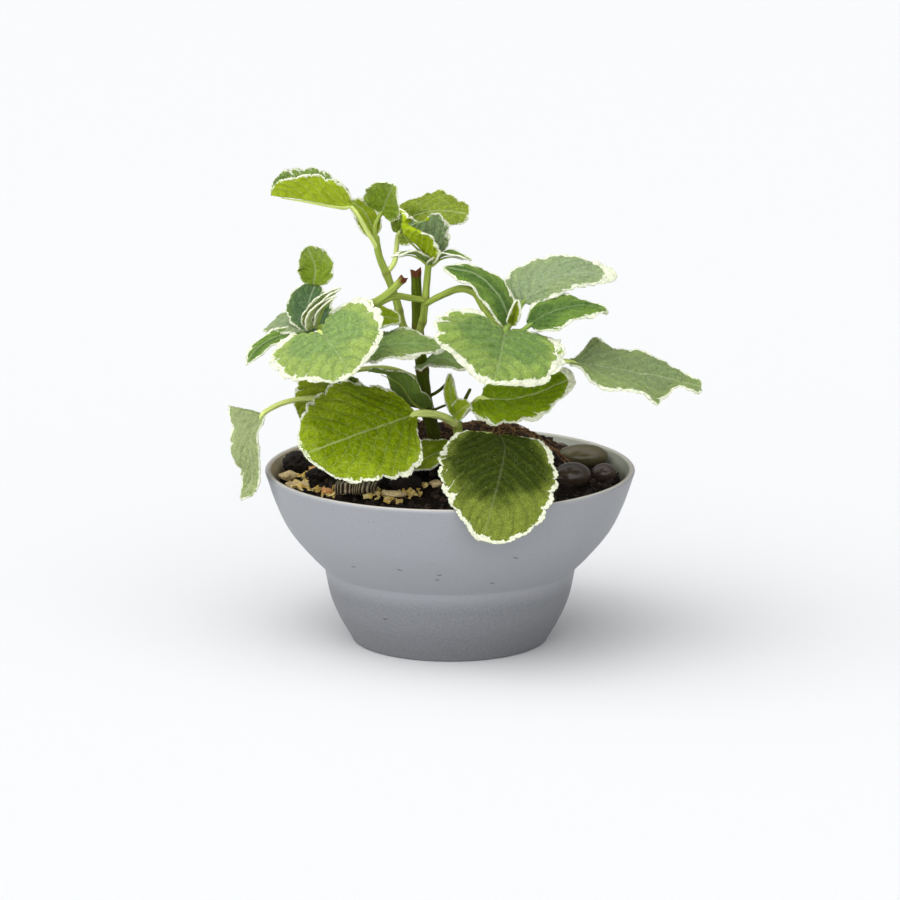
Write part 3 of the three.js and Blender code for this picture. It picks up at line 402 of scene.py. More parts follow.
class PotSettings(bpy.types.PropertyGroup):
    """The bowl pot."""

    wall: length_setting("Wall", "Thickness of the wall", 0.003)
    steps: count_setting("Steps", "Sides of the turned bowl", 160, least=24)
    glaze: colour_setting("Glaze", "Colour of the outside", (0.258, 0.265, 0.281))
    lip: colour_setting("Lip", "Colour of the worn rim", (0.47, 0.44, 0.39))
    # inside: greenish grey; the green on the right is a painted reflection
    inside: colour_setting("Inside", "Colour of the inner wall", (0.36, 0.37, 0.3))


class SoilSettings(bpy.types.PropertyGroup):
    """The soil and what lies on it."""

    crumbs: count_setting("Crumbs", "Loose crumbs on the surface", 2600)
    straw: count_setting("Straw bits", "Straw-coloured bits by the left rim", 300)
    fibres: count_setting("Fibres", "Dry root fibres on the mound", 320)
    peat: colour_setting("Peat", "Colour of the damp soil", (0.007, 0.0045, 0.0025))
    fibre: colour_setting("Fibre", "Colour of the dry fibres", (0.1, 0.052, 0.018))


class PlantSettings(bpy.types.PropertyGroup):
    """The stems and leaves."""

    blade: length_setting("Blade", "Thickness of a leaf", 0.0007)
    quilting: length_setting("Quilting", "How far a leaf bulges between its veins", 0.001)
    hair: length_setting("Hair", "Length of the hairs", 0.0008)
    hairiness: amount_setting("Hairiness", "How dense the hairs are", 1)
    old_bark: colour_setting("Main stem", "Colour of the old stem", (0.07, 0.1, 0.002))
    young_stem: colour_setting("Shoots", "Colour of the young stems", (0.25, 0.32, 0.055))


class StudioSettings(bpy.types.PropertyGroup):
    """The floor, the light and the camera."""

    elevation: bpy.props.FloatProperty(
        name="Elevation", description="How far the camera looks down", default=ELEVATION,
        subtype="ANGLE")
    distance: length_setting("Distance", "From the camera to what it aims at", DISTANCE)
    aim_height: length_setting("Aim height", "Height that the camera aims at", AIM_HEIGHT)
    lens: amount_setting("Lens", "Focal length in millimetres", LENS)
    horizon: amount_setting("Horizon", "Brightness of the air at the horizon", 0.3)
    zenith: amount_setting("Zenith", "Brightness of the air overhead", 2.3)
    key: amount_setting("Key", "Strength of the soft light from the upper left", 0.6)
    floor: colour_setting("Floor", "Colour of the floor", (0.64, 0.64, 0.643))


# ---- Routes ----
def unit(vectors):
    """Rows of vectors, each made one long."""
    return vectors / np.maximum(np.linalg.norm(vectors, axis=-1, keepdims=True), 1e-9)


class Route:
    """A smooth line through points in millimetres, read by the share of its length."""

    SAMPLES = 60  # for each stretch between two points

    def __init__(self, points):
        knots = [np.array(p, float) for p in points]
        knots = [2 * knots[0] - knots[1], *knots, 2 * knots[-1] - knots[-2]]
        places = []
        for before, start, end, after in zip(knots, knots[1:], knots[2:], knots[3:]):
            places.extend(self.stretch(before, start, end, after))
        places.append(knots[-2])
        self.places = np.array(places)
        steps = np.linalg.norm(np.diff(self.places, axis=0), axis=1)
        self.run = np.concatenate([[0], np.cumsum(steps)])
        self.length = self.run[-1]

    def stretch(self, before, start, end, after):
        """Points of the centripetal spline between start and end."""
        gaps = [math.sqrt(np.linalg.norm(b - a)) for a, b in
                ((before, start), (start, end), (end, after))]
        first, middle, last = gaps
        leaving = ((start - before) / first - (end - before) / (first + middle)
                   + (end - start) / middle) * middle
        arriving = ((end - start) / middle - (after - start) / (middle + last)
                    + (after - end) / last) * middle
        for step in range(self.SAMPLES):
            t = step / self.SAMPLES
            square = -3 * start + 3 * end - 2 * leaving - arriving
            cube = 2 * start - 2 * end + leaving + arriving
            yield start + leaving * t + square * t * t + cube * t ** 3

    def at(self, share):
        """Points at these shares of the length."""
        run = np.asarray(share) * self.length
        return np.stack([np.interp(run, self.run, self.places[:, k]) for k in range(3)], axis=-1)

    def along(self, share):
        """The directions there."""
        share = np.asarray(share)
        ahead = np.minimum(share + 0.01, 1)
        behind = np.maximum(share - 0.01, 0)
        return unit(self.at(ahead) - self.at(behind))


# ---- Modelling helpers ----
WELD_REACH = 2e-6  # metres


def deselect():
    """Nothing selected, so the next operator acts on its own piece alone."""
    bpy.ops.object.select_all(action="DESELECT")


def pick(*pieces):
    """These pieces alone selected, and the first of them active."""
    deselect()
    for piece in pieces:
        piece.select_set(True)
    bpy.context.view_layer.objects.active = pieces[0]


def named(name):
    """The piece just added, under its own name."""
    piece = bpy.context.object
    piece.name = name
    piece.data.name = name
    return piece


def vectors_of(rows, name="vector"):
    """The vectors that a mesh holds in one of its lists."""
    values = np.empty(len(rows) * 3)
    rows.foreach_get(name, values)
    return values.reshape(-1, 3)


def coordinates(piece):
    """The piece's vertices as an array, in metres."""
    return vectors_of(piece.data.vertices, "co")


def place_vertices(piece, places):
    """Puts the piece's vertices at these points, in metres."""
    piece.data.vertices.foreach_set("co", np.asarray(places, float).ravel())
    piece.data.update()


def sheet_of(name, columns, rows):
    """A flat grid two wide and two long. Its corners' shares run -1 to 1 across and 0 to 1 along."""
    deselect()
    bpy.ops.mesh.primitive_grid_add(x_subdivisions=columns, y_subdivisions=rows, size=2)
    piece = named(name)
    flat = coordinates(piece)
    return piece, flat[:, 0], (flat[:, 1] + 1) / 2


def weld(piece):
    """Joins the corners that lie together and turns the faces outwards."""
    pick(piece)
    bpy.ops.object.mode_set(mode="EDIT")
    bpy.ops.mesh.select_all(action="SELECT")
    bpy.ops.mesh.remove_doubles(threshold=WELD_REACH)
    bpy.ops.mesh.delete_loose()
    bpy.ops.mesh.select_all(action="SELECT")
    bpy.ops.mesh.normals_make_consistent(inside=False)
    bpy.ops.object.mode_set(mode="OBJECT")


def smooth(piece, degrees):
    """Soft shading, apart from edges sharper than the angle."""
    pick(piece)
    bpy.ops.object.shade_smooth_by_angle(angle=math.radians(degrees))


def joined(name, pieces):
    """Several pieces made one."""
    pick(*pieces)
    if len(pieces) > 1:
        bpy.ops.object.join()
    return named(name)


def loose_piece(name, places, faces):
    """A piece made of corners in metres and the faces between them."""
    mesh = bpy.data.meshes.new(name)
    mesh.from_pydata(places, [], faces)
    piece = bpy.data.objects.new(name, mesh)
    bpy.context.scene.collection.objects.link(piece)
    return piece


def settle(piece, nodes):
    """Puts the finished piece on the body it rides on, and hides the parts that it stands for."""
    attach(piece, BODY)
    if nodes:
        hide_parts(*nodes)
    return piece


def dress(piece, *finishes):
    """Gives the piece its materials, in slot order."""
    piece.data.materials.clear()
    for finish in finishes:
        piece.data.materials.append(finish)


def remember(piece, name, values):
    """Keeps one number, or one vector, for each vertex under a name that the finishes read."""
    values = np.asarray(values, float)
    vector = values.ndim == 2
    kind = "FLOAT_VECTOR" if vector else "FLOAT"
    attribute = piece.data.attributes.new(name, kind, "POINT")
    attribute.data.foreach_set("vector" if vector else "value", values.ravel())


def roughened(places, size, height, seed=0.0):
    """Heights of a rough surface at these points: lumps of a size, in the same unit."""
    offset = Vector((seed * 7.3, seed * 3.1, seed * 5.7))
    return np.array([height * noise.fractal(Vector(p) / size + offset, 0.8, 2.1, 3)
                     for p in places])


# ---- Finishes ----
class Value:
    """A result in a finish's node tree. A sum with a number or another result adds a node."""

    def __init__(self, finish, socket):
        self.finish = finish
        self.socket = socket

    def math(self, operation, *others):
        return self.finish.math(operation, self, *others)

    def __add__(self, other):
        return self.math("ADD", other)

    def __sub__(self, other):
        return self.math("SUBTRACT", other)

    def __mul__(self, other):
        return self.math("MULTIPLY", other)

    def __pow__(self, other):
        return self.math("POWER", other)

    def __abs__(self):
        return self.math("ABSOLUTE")

    def split(self):
        """The three numbers of a vector."""
        node = self.finish.add("ShaderNodeSeparateXYZ", {"Vector": self})
        return [Value(self.finish, output) for output in node.outputs]

    def rise(self, low, high, start=0.0, end=1.0):
        """A soft step from start to end, as this result goes from low to high."""
        node = self.finish.add("ShaderNodeMapRange", {
            "Value": self, "From Min": low, "From Max": high, "To Min": start, "To Max": end},
            interpolation_type="SMOOTHSTEP")
        return Value(self.finish, node.outputs["Result"])


class Finish:
    """One material built from nodes. A method named for a pattern adds a node and gives its result."""

    def __init__(self, name, **constants):
        self.material = bpy.data.materials.new(name)
        self.material.use_nodes = True
        self.tree = self.material.node_tree
        self.shader = next(n for n in self.tree.nodes if n.type == "BSDF_PRINCIPLED")
        for socket, value in constants.items():
            self.shader.inputs[socket.replace("_", " ")].default_value = value

    def add(self, kind, inputs=(), **options):
        node = self.tree.nodes.new(kind)
        for option, value in options.items():
            setattr(node, option, value)
        for socket, value in dict(inputs).items():
            self.feed(node.inputs[socket], value)
        return node

    def feed(self, socket, value):
        """Gives a socket a result, a colour or a number."""
        if isinstance(value, Value):
            self.tree.links.new(value.socket, socket)
        elif isinstance(value, tuple) and len(value) == 3 and socket.type == "RGBA":
            socket.default_value = (*value, 1)
        else:
            socket.default_value = value

    def done(self, colour, relief=None):
        """Links the colour and the relief to the shader, and gives the material."""
        self.feed(self.shader.inputs["Base Color"], colour)
        if relief is not None:
            self.feed(self.shader.inputs["Normal"], relief)
        return self.material

    def place(self):
        return Value(self, self.add("ShaderNodeTexCoord").outputs["Object"])

    def kept(self, name, output="Fac"):
        """What the mesh keeps for each vertex: a number, or a vector."""
        return Value(self, self.add("ShaderNodeAttribute", attribute_name=name).outputs[output])

    def math(self, operation, *values, clamp=False):
        node = self.add("ShaderNodeMath", operation=operation, use_clamp=clamp)
        for socket, value in zip(node.inputs, values):
            self.feed(socket, value)
        return Value(self, node.outputs[0])

    def joined(self, x, y, z=0.0):
        node = self.add("ShaderNodeCombineXYZ", {"X": x, "Y": y, "Z": z})
        return Value(self, node.outputs[0])

    def noise(self, vector, scale, detail=3.0, roughness=0.5):
        node = self.add("ShaderNodeTexNoise", {
            "Vector": vector, "Scale": scale, "Detail": detail, "Roughness": roughness})
        return Value(self, node.outputs["Fac"])

    def cells(self, vector, scale, feature="F1"):
        """The distance to a cell's middle, or to its edge."""
        node = self.add("ShaderNodeTexVoronoi", {"Vector": vector, "Scale": scale}, feature=feature)
        return Value(self, node.outputs["Distance"])

    def chance(self, x, y):
        """A random number for each pair of whole numbers."""
        node = self.add("ShaderNodeTexWhiteNoise", {"Vector": self.joined(x, y)},
                        noise_dimensions="3D")
        return Value(self, node.outputs["Value"])

    def mix(self, share, under, over):
        node = self.add("ShaderNodeMix", data_type="RGBA")
        self.feed(node.inputs["Factor"], share)
        colours = [socket for socket in node.inputs if socket.type == "RGBA"]
        self.feed(colours[0], under)
        self.feed(colours[1], over)
        return Value(self, next(socket for socket in node.outputs if socket.type == "RGBA"))

    def shades(self, share, tint, dark, light):
        """A colour between a darker and a lighter tone of itself."""
        return self.mix(share, scaled(tint, dark), scaled(tint, light))

    def layered(self, colour, *layers):
        """The colour under some layers, each of them a share and a colour."""
        for share, over in layers:
            colour = self.mix(share, colour, over)
        return colour

    def bump(self, height, distance, strength=1.0, under=None):
        node = self.add("ShaderNodeBump", {
            "Height": height, "Distance": distance, "Strength": strength})
        if under is not None:
            self.feed(node.inputs["Normal"], under)
        return Value(self, node.outputs["Normal"])


def vein_lines(finish):
    """Closeness to a side vein, from 0 between two to 1 on one, and a random number by sector."""
    blade = finish.kept("blade_mm", "Vector")
    wiggle = finish.noise(blade, 0.22, detail=2) - 0.5
    phase = finish.kept("vein_phase") + wiggle * 0.5
    hand = blade.split()[0].math("GREATER_THAN", 0.0)
    luck = finish.chance(phase.math("FLOOR"), hand)
    return abs(phase.math("FRACT") - 0.5) * 2.0, luck


def vein_net(finish):
    """The net of fine veins: how far each mesh lies from the edge, its tone, the way to its rim."""
    blade = finish.kept("blade_mm", "Vector")
    meshes = finish.add("ShaderNodeTexVoronoi", {"Vector": blade, "Scale": CELLS_PER_MM})
    margin = Value(finish, meshes.outputs["Position"]).split()[2]
    rim = finish.cells(blade, CELLS_PER_MM, feature="DISTANCE_TO_EDGE")
    return margin, Value(finish, meshes.outputs["Color"]) + 0.0, rim


def blend(one, other, share):
    """A colour between two."""
    return tuple((1 - share) * a + share * b for a, b in zip(one, other))


def scaled(tone, factor):
    """A lighter or darker tone of a colour."""
    return tuple(min(1.0, factor * c) for c in tone)


def edge_cream(finish, tones, luck, closeness):
    """1 where a leaf is green and 0 on its cream edge, and the way in from the cream."""
    blade = finish.kept("blade_mm", "Vector")
    _, along, from_edge = blade.split()
    mesh_margin, _, _ = vein_net(finish)
    margin = mesh_margin * 0.75 + from_edge * 0.25
    broad = finish.noise(blade, 0.085, detail=2).rise(0.36, 0.64)
    width = (broad + 0.35) * tones["cream"]
    if "pale_tip" in tones:
        start = tones["pale_tip"]
        width = width + along.rise(start, start + TIP_FADE, 0.0, PALE_TIP)
    spike = closeness ** 2.2 * tones.get("spike", SPIKE) * luck ** 3.5
    inside = margin - (width + spike)
    return inside.rise(-0.12, 0.15), inside


def leafy(name, **constants):
    """A leaf's finish, which light sinks into a little."""
    return Finish(name, Roughness=0.7, Subsurface_Weight=0.1, Subsurface_Scale=0.002,
                  Subsurface_Radius=(0.5, 1.0, 0.2), **constants)


def leaf_finish(look):
    """The upper face: a quilted green middle, a paler zone round it, and a ragged cream edge."""
    tones = LOOKS[look]
    velvet = tones.get("velvet", 0.0)
    finish = leafy("leaf_" + look, Specular_IOR_Level=0.05 + 1.5 * velvet, Sheen_Weight=velvet,
                   Sheen_Roughness=0.4)
    blade = finish.kept("blade_mm", "Vector")
    across, along, _ = blade.split()
    closeness, luck = vein_lines(finish)
    green, inside = edge_cream(finish, tones, luck, closeness)
    _, mesh_tone, rim = vein_net(finish)

    spread = finish.noise(blade, 0.05).rise(0.3, 0.7) + luck * 0.3
    inner = (inside - spread * (tones["zone_width"] * 1.2)).rise(-3.0, 3.5)
    if "tip" in tones:
        inner = inner * (along + spread * 10.0).rise(tones["tip"], tones["tip"] + 14, 1, 0)
    grain = finish.noise(blade, 0.7, detail=5, roughness=0.65)
    mottle = (mesh_tone * 0.3 + grain * 0.7).rise(0.25, 0.75)
    middle = finish.shades(mottle, tones["middle"], 0.72, 1.3)
    zone = finish.shades(mottle, tones["zone"], 0.8, 1.18)

    shadow = scaled(tones["middle"], 0.6)
    pale = blend(tones["zone"], CREAM, 0.3)
    veins = tones.get("veins", 0.22)
    twisted = finish.joined(across + grain * 1.5, along)
    branches = finish.cells(twisted, BRANCHES_PER_MM, feature="DISTANCE_TO_EDGE")
    # painted shade and highlight: the strips along the side veins and the fine net's furrows darkened, the
    # pillows between the veins lightened
    valley_shade = closeness ** 3.0 * tones.get("valley", 0.38)
    crest_highlight = closeness.rise(0.45, 0.0, 0.0, 0.12)
    midrib = abs(across).rise(0.2, 0.9, tones.get("rib", 0.55), 0.0)
    colour = finish.layered(
        finish.mix(inner, zone, middle),
        (valley_shade, shadow),
        (crest_highlight, scaled(tones["zone"], 1.1)),
        (rim.rise(0.0, 0.16, 0.42, 0.0), shadow),
        (closeness.rise(0.9, 1.0, 0.0, veins), pale),
        (branches.rise(0.0, 0.06, 0.6 * veins, 0.0), pale),
        (midrib, pale))
    edge = finish.shades(mottle, CREAM, 0.86, 1.12)
    burnt = finish.noise(blade, 0.33, detail=2).rise(0.7, 0.76, 0.0, 0.4) * abs(inside).rise(0.9, 0.2)
    colour = finish.mix(burnt, finish.mix(green, edge, colour), BURNT)
    downy = finish.bump(finish.noise(blade, 3.0, detail=3, roughness=0.7), 0.0003, 0.5)
    padded = finish.bump(branches.rise(0.0, 0.3), 0.0008, 0.6, under=downy)
    return finish.done(colour, finish.bump(rim.rise(0.0, 0.35), 0.0006, 0.75, under=padded))


def underside_finish(look):
    """The lower face: duller, with its veins standing out."""
    tones = LOOKS[look]
    finish = leafy("underleaf_" + look, Specular_IOR_Level=0.08)
    blade = finish.kept("blade_mm", "Vector")
    closeness, luck = vein_lines(finish)
    green, _ = edge_cream(finish, {**tones, "cream": 0.7 * tones["cream"]}, luck, closeness)
    _, mesh_tone, rim = vein_net(finish)
    grain = finish.noise(blade, 0.3, detail=5)
    mottle = (mesh_tone * 0.2 + grain * 0.8).rise(0.25, 0.75)
    veins = closeness.rise(0.84, 1.0, 0.0, 0.3)
    tone = finish.mix(veins, finish.shades(mottle, tones["under"], 0.78, 1.2),
                      blend(tones["under"], CREAM, 0.35))
    colour = finish.mix(green, scaled(CREAM, 0.95), tone)
    return finish.done(colour, finish.bump(rim.rise(0.0, 0.3), 0.0003, -0.5))


def stem_finish(name, tint, aged):
    """A stem: streaked along its length, with corky scars where it is old or cut."""
    finish = Finish(name, Roughness=0.6, Specular_IOR_Level=0.1, Subsurface_Weight=0.1,
                    Subsurface_Scale=0.002)
    place = finish.place()
    around, along, scar = finish.kept("stem_run", "Vector").split()
    streaks = finish.noise(finish.joined(around * 0.8, along * 0.07), 1.0, detail=4)
    colour = finish.shades(streaks.rise(0.3, 0.7), tint, 0.75, 1.25)
    if aged:
        darkening = place.split()[2].rise(0.15, 0.095, 0.0, 0.7)
        colour = finish.mix(darkening, colour, OLD_FOOT)
    cork = finish.mix(finish.noise(place, 900.0), *CORK)
    relief = finish.bump(finish.noise(place, 1400.0, detail=4), 0.0002, 0.5)
    return finish.done(finish.mix(scar, colour, cork), relief)


def hair_finish():
    """The fine down on stems and leaves."""
    return Finish("down", Roughness=0.7, Specular_IOR_Level=0.1).done(DOWN)


# ---- The pot ----
def pot_profile(wall):
    """The closed outline that is spun: foot, base, waist, bowl, lip, inner wall and floor."""
    base = Route([(r, 0, z) for r, z in BASE_KNOTS]).at(np.linspace(0, 1, 26))
    waist = Route([(r, 0, z) for r, z in [BASE_KNOTS[-1], *WAIST_KNOTS]]).at(np.linspace(0.1, 0.9, 6))
    bowl = Route([(r, 0, z) for r, z in BOWL_KNOTS]).at(np.linspace(0, 1, 44))
    outside = np.concatenate([base, waist, bowl])[:, [0, 2]]
    direction = unit(np.gradient(outside, axis=0))
    inside = outside + np.stack([-direction[:, 1], direction[:, 0]], axis=1) * wall
    keep = (inside[:, 1] > POT_FLOOR + 1) & (inside[:, 1] < POT_HEIGHT - LIP_ROUNDING - 0.4)
    lip = []
    middle = RIM_RADIUS - wall / 2
    for turn in np.linspace(0, math.pi, 13):
        lip.append((middle + wall / 2 * math.cos(turn),
                    POT_HEIGHT - LIP_ROUNDING + LIP_ROUNDING * math.sin(turn)))
    edge = FOOT_RADIUS - FOOT_ROUNDING
    foot = [(0, 0), (edge, 0), (edge + 0.7 * FOOT_ROUNDING, 0.3 * FOOT_ROUNDING)]
    floor = [(edge - wall, POT_FLOOR + 0.4), (edge - wall - 3, POT_FLOOR), (0, POT_FLOOR)]
    return [*foot, *map(tuple, outside), *lip[1:], *map(tuple, inside[keep][::-1]), *floor]


def turned(name, profile, steps):
    """A closed outline of (radius, height) points, spun once about the upright axis."""
    deselect()
    bpy.ops.mesh.primitive_circle_add(vertices=len(profile), fill_type="NOTHING")
    piece = named(name)
    place_vertices(piece, [(radius * MM, 0, height * MM) for radius, height in profile])
    bpy.ops.object.mode_set(mode="EDIT")
    bpy.ops.mesh.select_all(action="SELECT")
    bpy.ops.mesh.spin(steps=steps, angle=TAU, center=(0, 0, 0), axis=(0, 0, 1))
    bpy.ops.object.mode_set(mode="OBJECT")
    weld(piece)
    return piece


# Dark nicks on the front of the pot, as pixels of the photograph. They slant by turns.
NICK_PIXELS = [(353, 566.5), (400, 570), (437, 580), (492, 583), (386, 619), (515, 558), (440, 575)]
NICK_TURNS = 60  # rounds that each nick's place takes to settle
NICK_SLANTS = (-0.15, 0.35)
NICKS_ACROSS, NICKS_HIGH = 700.0, 2600.0  # one over about half their size, in metres
# the warm left of the inner wall; its split from the greener right is a painted reflection
WARM_WALL = (0.62, 0.5, 0.32)
SOIL_STAIN = (0.06, 0.045, 0.025)


def nick_place(across, down):
    """Where a pixel of the photograph lies on the pot's front: (how far across, how high)."""
    radii, heights = zip(*BASE_KNOTS, *BOWL_KNOTS)
    level, lift = math.cos(ELEVATION), math.sin(ELEVATION)
    aim = AIM_HEIGHT / MM
    focal = LENS / SENSOR_WIDTH * PHOTO_SIZE
    size = DISTANCE / MM / focal
    height = aim / 2
    for _ in range(NICK_TURNS):
        front = -math.sqrt(np.interp(height, heights, radii) ** 2 - ((across - POT_AXIS) * size) ** 2)
        size = (DISTANCE / MM + front * level - (height - aim) * lift) / focal
        seen = aim + ((PHOTO_SIZE / 2 - down) * size - front * lift) / level
        height = (height + seen) / 2
    return round((across - POT_AXIS) * size), round(2 * height) / 2


def glaze_finish(settings):
    """The outside: matte grey, cloudy and faintly speckled, painted darker below as shade, with a few dark
    nicks.
    """
    finish = Finish("grey_glaze", Roughness=0.45, Specular_IOR_Level=0.35)
    place = finish.place()
    x, y, z = place.split()
    tint = tuple(settings.glaze)
    # painted shade: the glaze darkens towards the foot, where the bowl shades the base
    below = z.rise(0.038, 0.026, 0.0, 0.9) + z.rise(0.02, 0.0, 0.0, 0.3)
    grain = finish.noise(place, 1500.0, detail=2).rise(0.4, 0.7, 0.0, 0.16)
    rare = finish.noise(place, 70.0, detail=1).rise(0.62, 0.68)
    specks = finish.cells(place, 300.0).rise(0.17, 0.1) * rare
    nicks = 0.0
    for number, pixel in enumerate(NICK_PIXELS):
        across, height = nick_place(*pixel)
        dx = x - across * MM
        dz = z - height * MM + dx * NICK_SLANTS[number % 2]
        near = abs(dx * NICKS_ACROSS) ** 2.0 + abs(dz * NICKS_HIGH) ** 2.0
        nicks = finish.math("ADD", nicks, near.rise(1.2, 0.3), clamp=True)
    front = y.math("LESS_THAN", 0.0)
    colour = finish.layered(
        finish.shades(finish.noise(place, 14.0, detail=4), tint, 0.95, 1.05),
        (below, scaled(tint, 0.55)),
        (grain, scaled(tint, 1.5)),
        (specks * 0.4, (0.1, 0.1, 0.11)),
        (nicks * front * 0.8, (0.04, 0.04, 0.045)))
    pores = finish.bump(finish.noise(place, 900.0), 0.0002, 0.12)
    waves = finish.bump(finish.noise(place, 60.0, detail=2), 0.001, 0.1, under=pores)
    return finish.done(colour, waves)


def lip_finish(settings):
    """The rim's edge, where the pale clay shows."""
    finish = Finish("pale_lip", Roughness=0.5)
    cloud = finish.noise(finish.place(), 120.0, detail=4)
    return finish.done(finish.shades(cloud, tuple(settings.lip), 0.85, 1.0))


def inner_finish(settings):
    """The inner wall: grey, warmer on the left and greener to the right as a painted reflection, stained
    by soil and water near the surface.
    """
    finish = Finish("inner_wall", Roughness=0.45)
    place = finish.place()
    x, _, z = place.split()
    ragged = z + finish.noise(place, 130.0, detail=4) * 0.006
    colour = finish.layered(
        tuple(settings.inside),
        # painted reflection: warm on the left, greener grey to the right
        (x.rise(-0.02, -0.075, 0.0, 0.75), WARM_WALL),
        (ragged.rise(0.0855, 0.08, 0.0, 0.7), SOIL_STAIN))
    return finish.done(colour, finish.bump(finish.noise(place, 700.0), 0.0003, 0.3))


class PLECTRANTHUS_OT_pot(bpy.types.Operator):
    """Turn the bowl pot"""

    bl_idname = "plectranthus.pot"
    bl_label = "Pot"

    LIP_DEPTH = 0.00035  # how far down the pale lip shows

    def execute(self, context):
        settings = context.scene.plectranthus_pot
        pot = turned("bowl_pot", pot_profile(settings.wall / MM), settings.steps)
        dress(pot, glaze_finish(settings), lip_finish(settings), inner_finish(settings))
        for face in pot.data.polygons:
            outwards = face.normal.x * face.center.x + face.normal.y * face.center.y
            if face.center.z > POT_HIGH.z - self.LIP_DEPTH:
                face.material_index = 1
            elif face.center.z > POT_FLOOR * MM * 0.9 and outwards < 0:
                face.material_index = 2
        smooth(pot, 35)
        settle(pot, ["pot"])
        return {"FINISHED"}


# ---- The soil ----
def mound_height(x, y):
    """Height of the root ball over the soil's level."""
    across = (x - MOUND_AT[0]) / MOUND_HALF_WIDTH
    behind = y - MOUND_AT[1]
    along = behind / np.where(behind > 0, MOUND_BACK, MOUND_FRONT)
    return MOUND_HEIGHT * np.exp(-(across ** 4) - along ** 2)


def soil_height(x, y):
    """Height of the soil's surface, in millimetres."""
    broad = np.sin(x * 0.11 + 1.3) * np.cos(y * 0.13 - 0.4)
    fine = np.sin(x * 0.31 + y * 0.17) * np.sin(y * 0.29 - x * 0.12 + 2)
    return SOIL_LEVEL + mound_height(x, y) + SOIL_RELIEF * (0.7 * broad + 0.5 * fine)


def soil_finish(settings):
    """Damp peat: near black, browner where it is dry on the mound."""
    finish = Finish("damp_soil", Roughness=0.95, Specular_IOR_Level=0.12)
    place = finish.place()
    grains = finish.noise(place, 520.0, detail=5, roughness=0.7)
    peat = finish.shades(grains.rise(0.45, 0.75), tuple(settings.peat), 0.6, 2.6)
    ragged = place.split()[2] + finish.noise(place, 90.0, detail=4) * 0.02
    colour = finish.mix(ragged.rise(0.1, 0.113, 0.0, 0.85), peat, finish.mix(grains, *DRY_SOIL))
    crumbly = finish.noise(place, 900.0, detail=5, roughness=0.7)
    return finish.done(colour, finish.bump(crumbly, 0.0012, 0.9))


def crumb_finish(name, dark, light):
    """Loose bits, each with a tone of its own."""
    finish = Finish(name, Roughness=0.85, Specular_IOR_Level=0.3)
    grain = finish.noise(finish.place(), 1500.0)
    share = finish.kept("tone") * 0.75 + grain * 0.3
    return finish.done(finish.mix(share, dark, light), finish.bump(grain, 0.0005, 0.5))


def scattered(name, count, seed, shape, spot, size):
    """Copies of one small shape, each turned, stretched and put on its own spot by seeded draws."""
    draws = random.Random(seed)
    deselect()
    shape()
    piece = named(name)
    pattern = coordinates(piece)
    corners = [tuple(face.vertices) for face in piece.data.polygons]
    places, faces, tones = [], [], []
    while len(places) < count:
        found = spot(draws)
        if found is None:
            continue
        at, largest = found
        scale = np.array(size(draws)) * largest
        turn = Euler([draws.uniform(0, TAU) for _ in range(3)]).to_matrix()
        jitter = 1 + np.array([draws.uniform(-0.25, 0.25) for _ in range(len(pattern))])[:, None]
        copy = (pattern * jitter * scale) @ np.array(turn).T + np.array(at)
        faces.extend(tuple(i + len(places) * len(pattern) for i in face) for face in corners)
        places.append(copy)
        tones.extend([draws.random()] * len(pattern))
    mesh = bpy.data.meshes.new(name)
    mesh.from_pydata(np.concatenate(places) * MM, [], faces)
    piece.data = mesh
    remember(piece, "tone", tones)
    return piece


def on_soil(draws):
    """A spot anywhere on the soil, and the greatest size there."""
    radius = SOIL_RADIUS * math.sqrt(draws.random())
    turn = draws.uniform(0, TAU)
    x, y = radius * math.cos(turn), radius * math.sin(turn)
    return (x, y, float(soil_height(x, y)) - 0.1), 1.0 if radius < SOIL_RADIUS - 3 else 0.5


STRAW_SPOTS = [(-80, 26), (-67, 2), (-74, -10), (-77, 8), (-55, -33), (-36, -39), (-26, -44),
               (-19, -38), (-15, -32), (-70, 14), (-64, -22), (-72, -18)]


def by_the_straw(draws):
    """A spot in one of the drifts of straw-coloured bits."""
    x, y = draws.choice(STRAW_SPOTS)
    x, y = draws.gauss(x, 2.6), draws.gauss(y, 2.2)
    if math.hypot(x, y) > SOIL_RADIUS - 1.5:
        return None
    return (x, y, float(soil_height(x, y)) + draws.uniform(0.2, 1.6)), 1.0


def soil_mesh():
    """The soil: a grid rolled into rings that cover the top, go down the wall and close below."""
    soil, across, along = sheet_of("potting_soil", SOIL_SIDES, SOIL_RINGS)
    turn = across * math.pi
    down = np.clip((along - TOP_SHARE) / (1 - TOP_SHARE), 0, 1)
    wall_heights, wall_radii = zip(*SOIL_WALL)
    wall_height = np.interp(down, [0, WALL_SHARE], [wall_heights[-1], SOIL_BOTTOM])
    wall_radius = np.interp(wall_height, wall_heights, wall_radii)
    wall_radius = wall_radius * np.interp(down, [WALL_SHARE, 1], [1, 0])
    out = np.where(down > 0, wall_radius, along / TOP_SHARE * SOIL_RADIUS)
    x, y = out * np.cos(turn), out * np.sin(turn)
    spots = np.stack([x, y, np.zeros_like(x)], axis=1).round(5)
    fade = np.clip((SOIL_RADIUS - out) / 3, 0, 1)
    lumps = roughened(spots, 7, 1.5) * fade + roughened(spots, 2.2, 0.9, seed=2)
    top = soil_height(x, y) + lumps - (1 - fade)
    height = np.where(down > 0, wall_height, top)
    place_vertices(soil, np.stack([x, y, height], axis=1) * MM)
    weld(soil)
    return soil


def pip():
    """A small ball one across."""
    bpy.ops.mesh.primitive_ico_sphere_add(subdivisions=1, radius=0.5)


def pip_size(draws):
    """Mostly small, now and then a large one."""
    large = 0.8 + 4.2 * draws.random() ** 4
    return [large * draws.uniform(0.7, 1.2) for _ in range(3)]


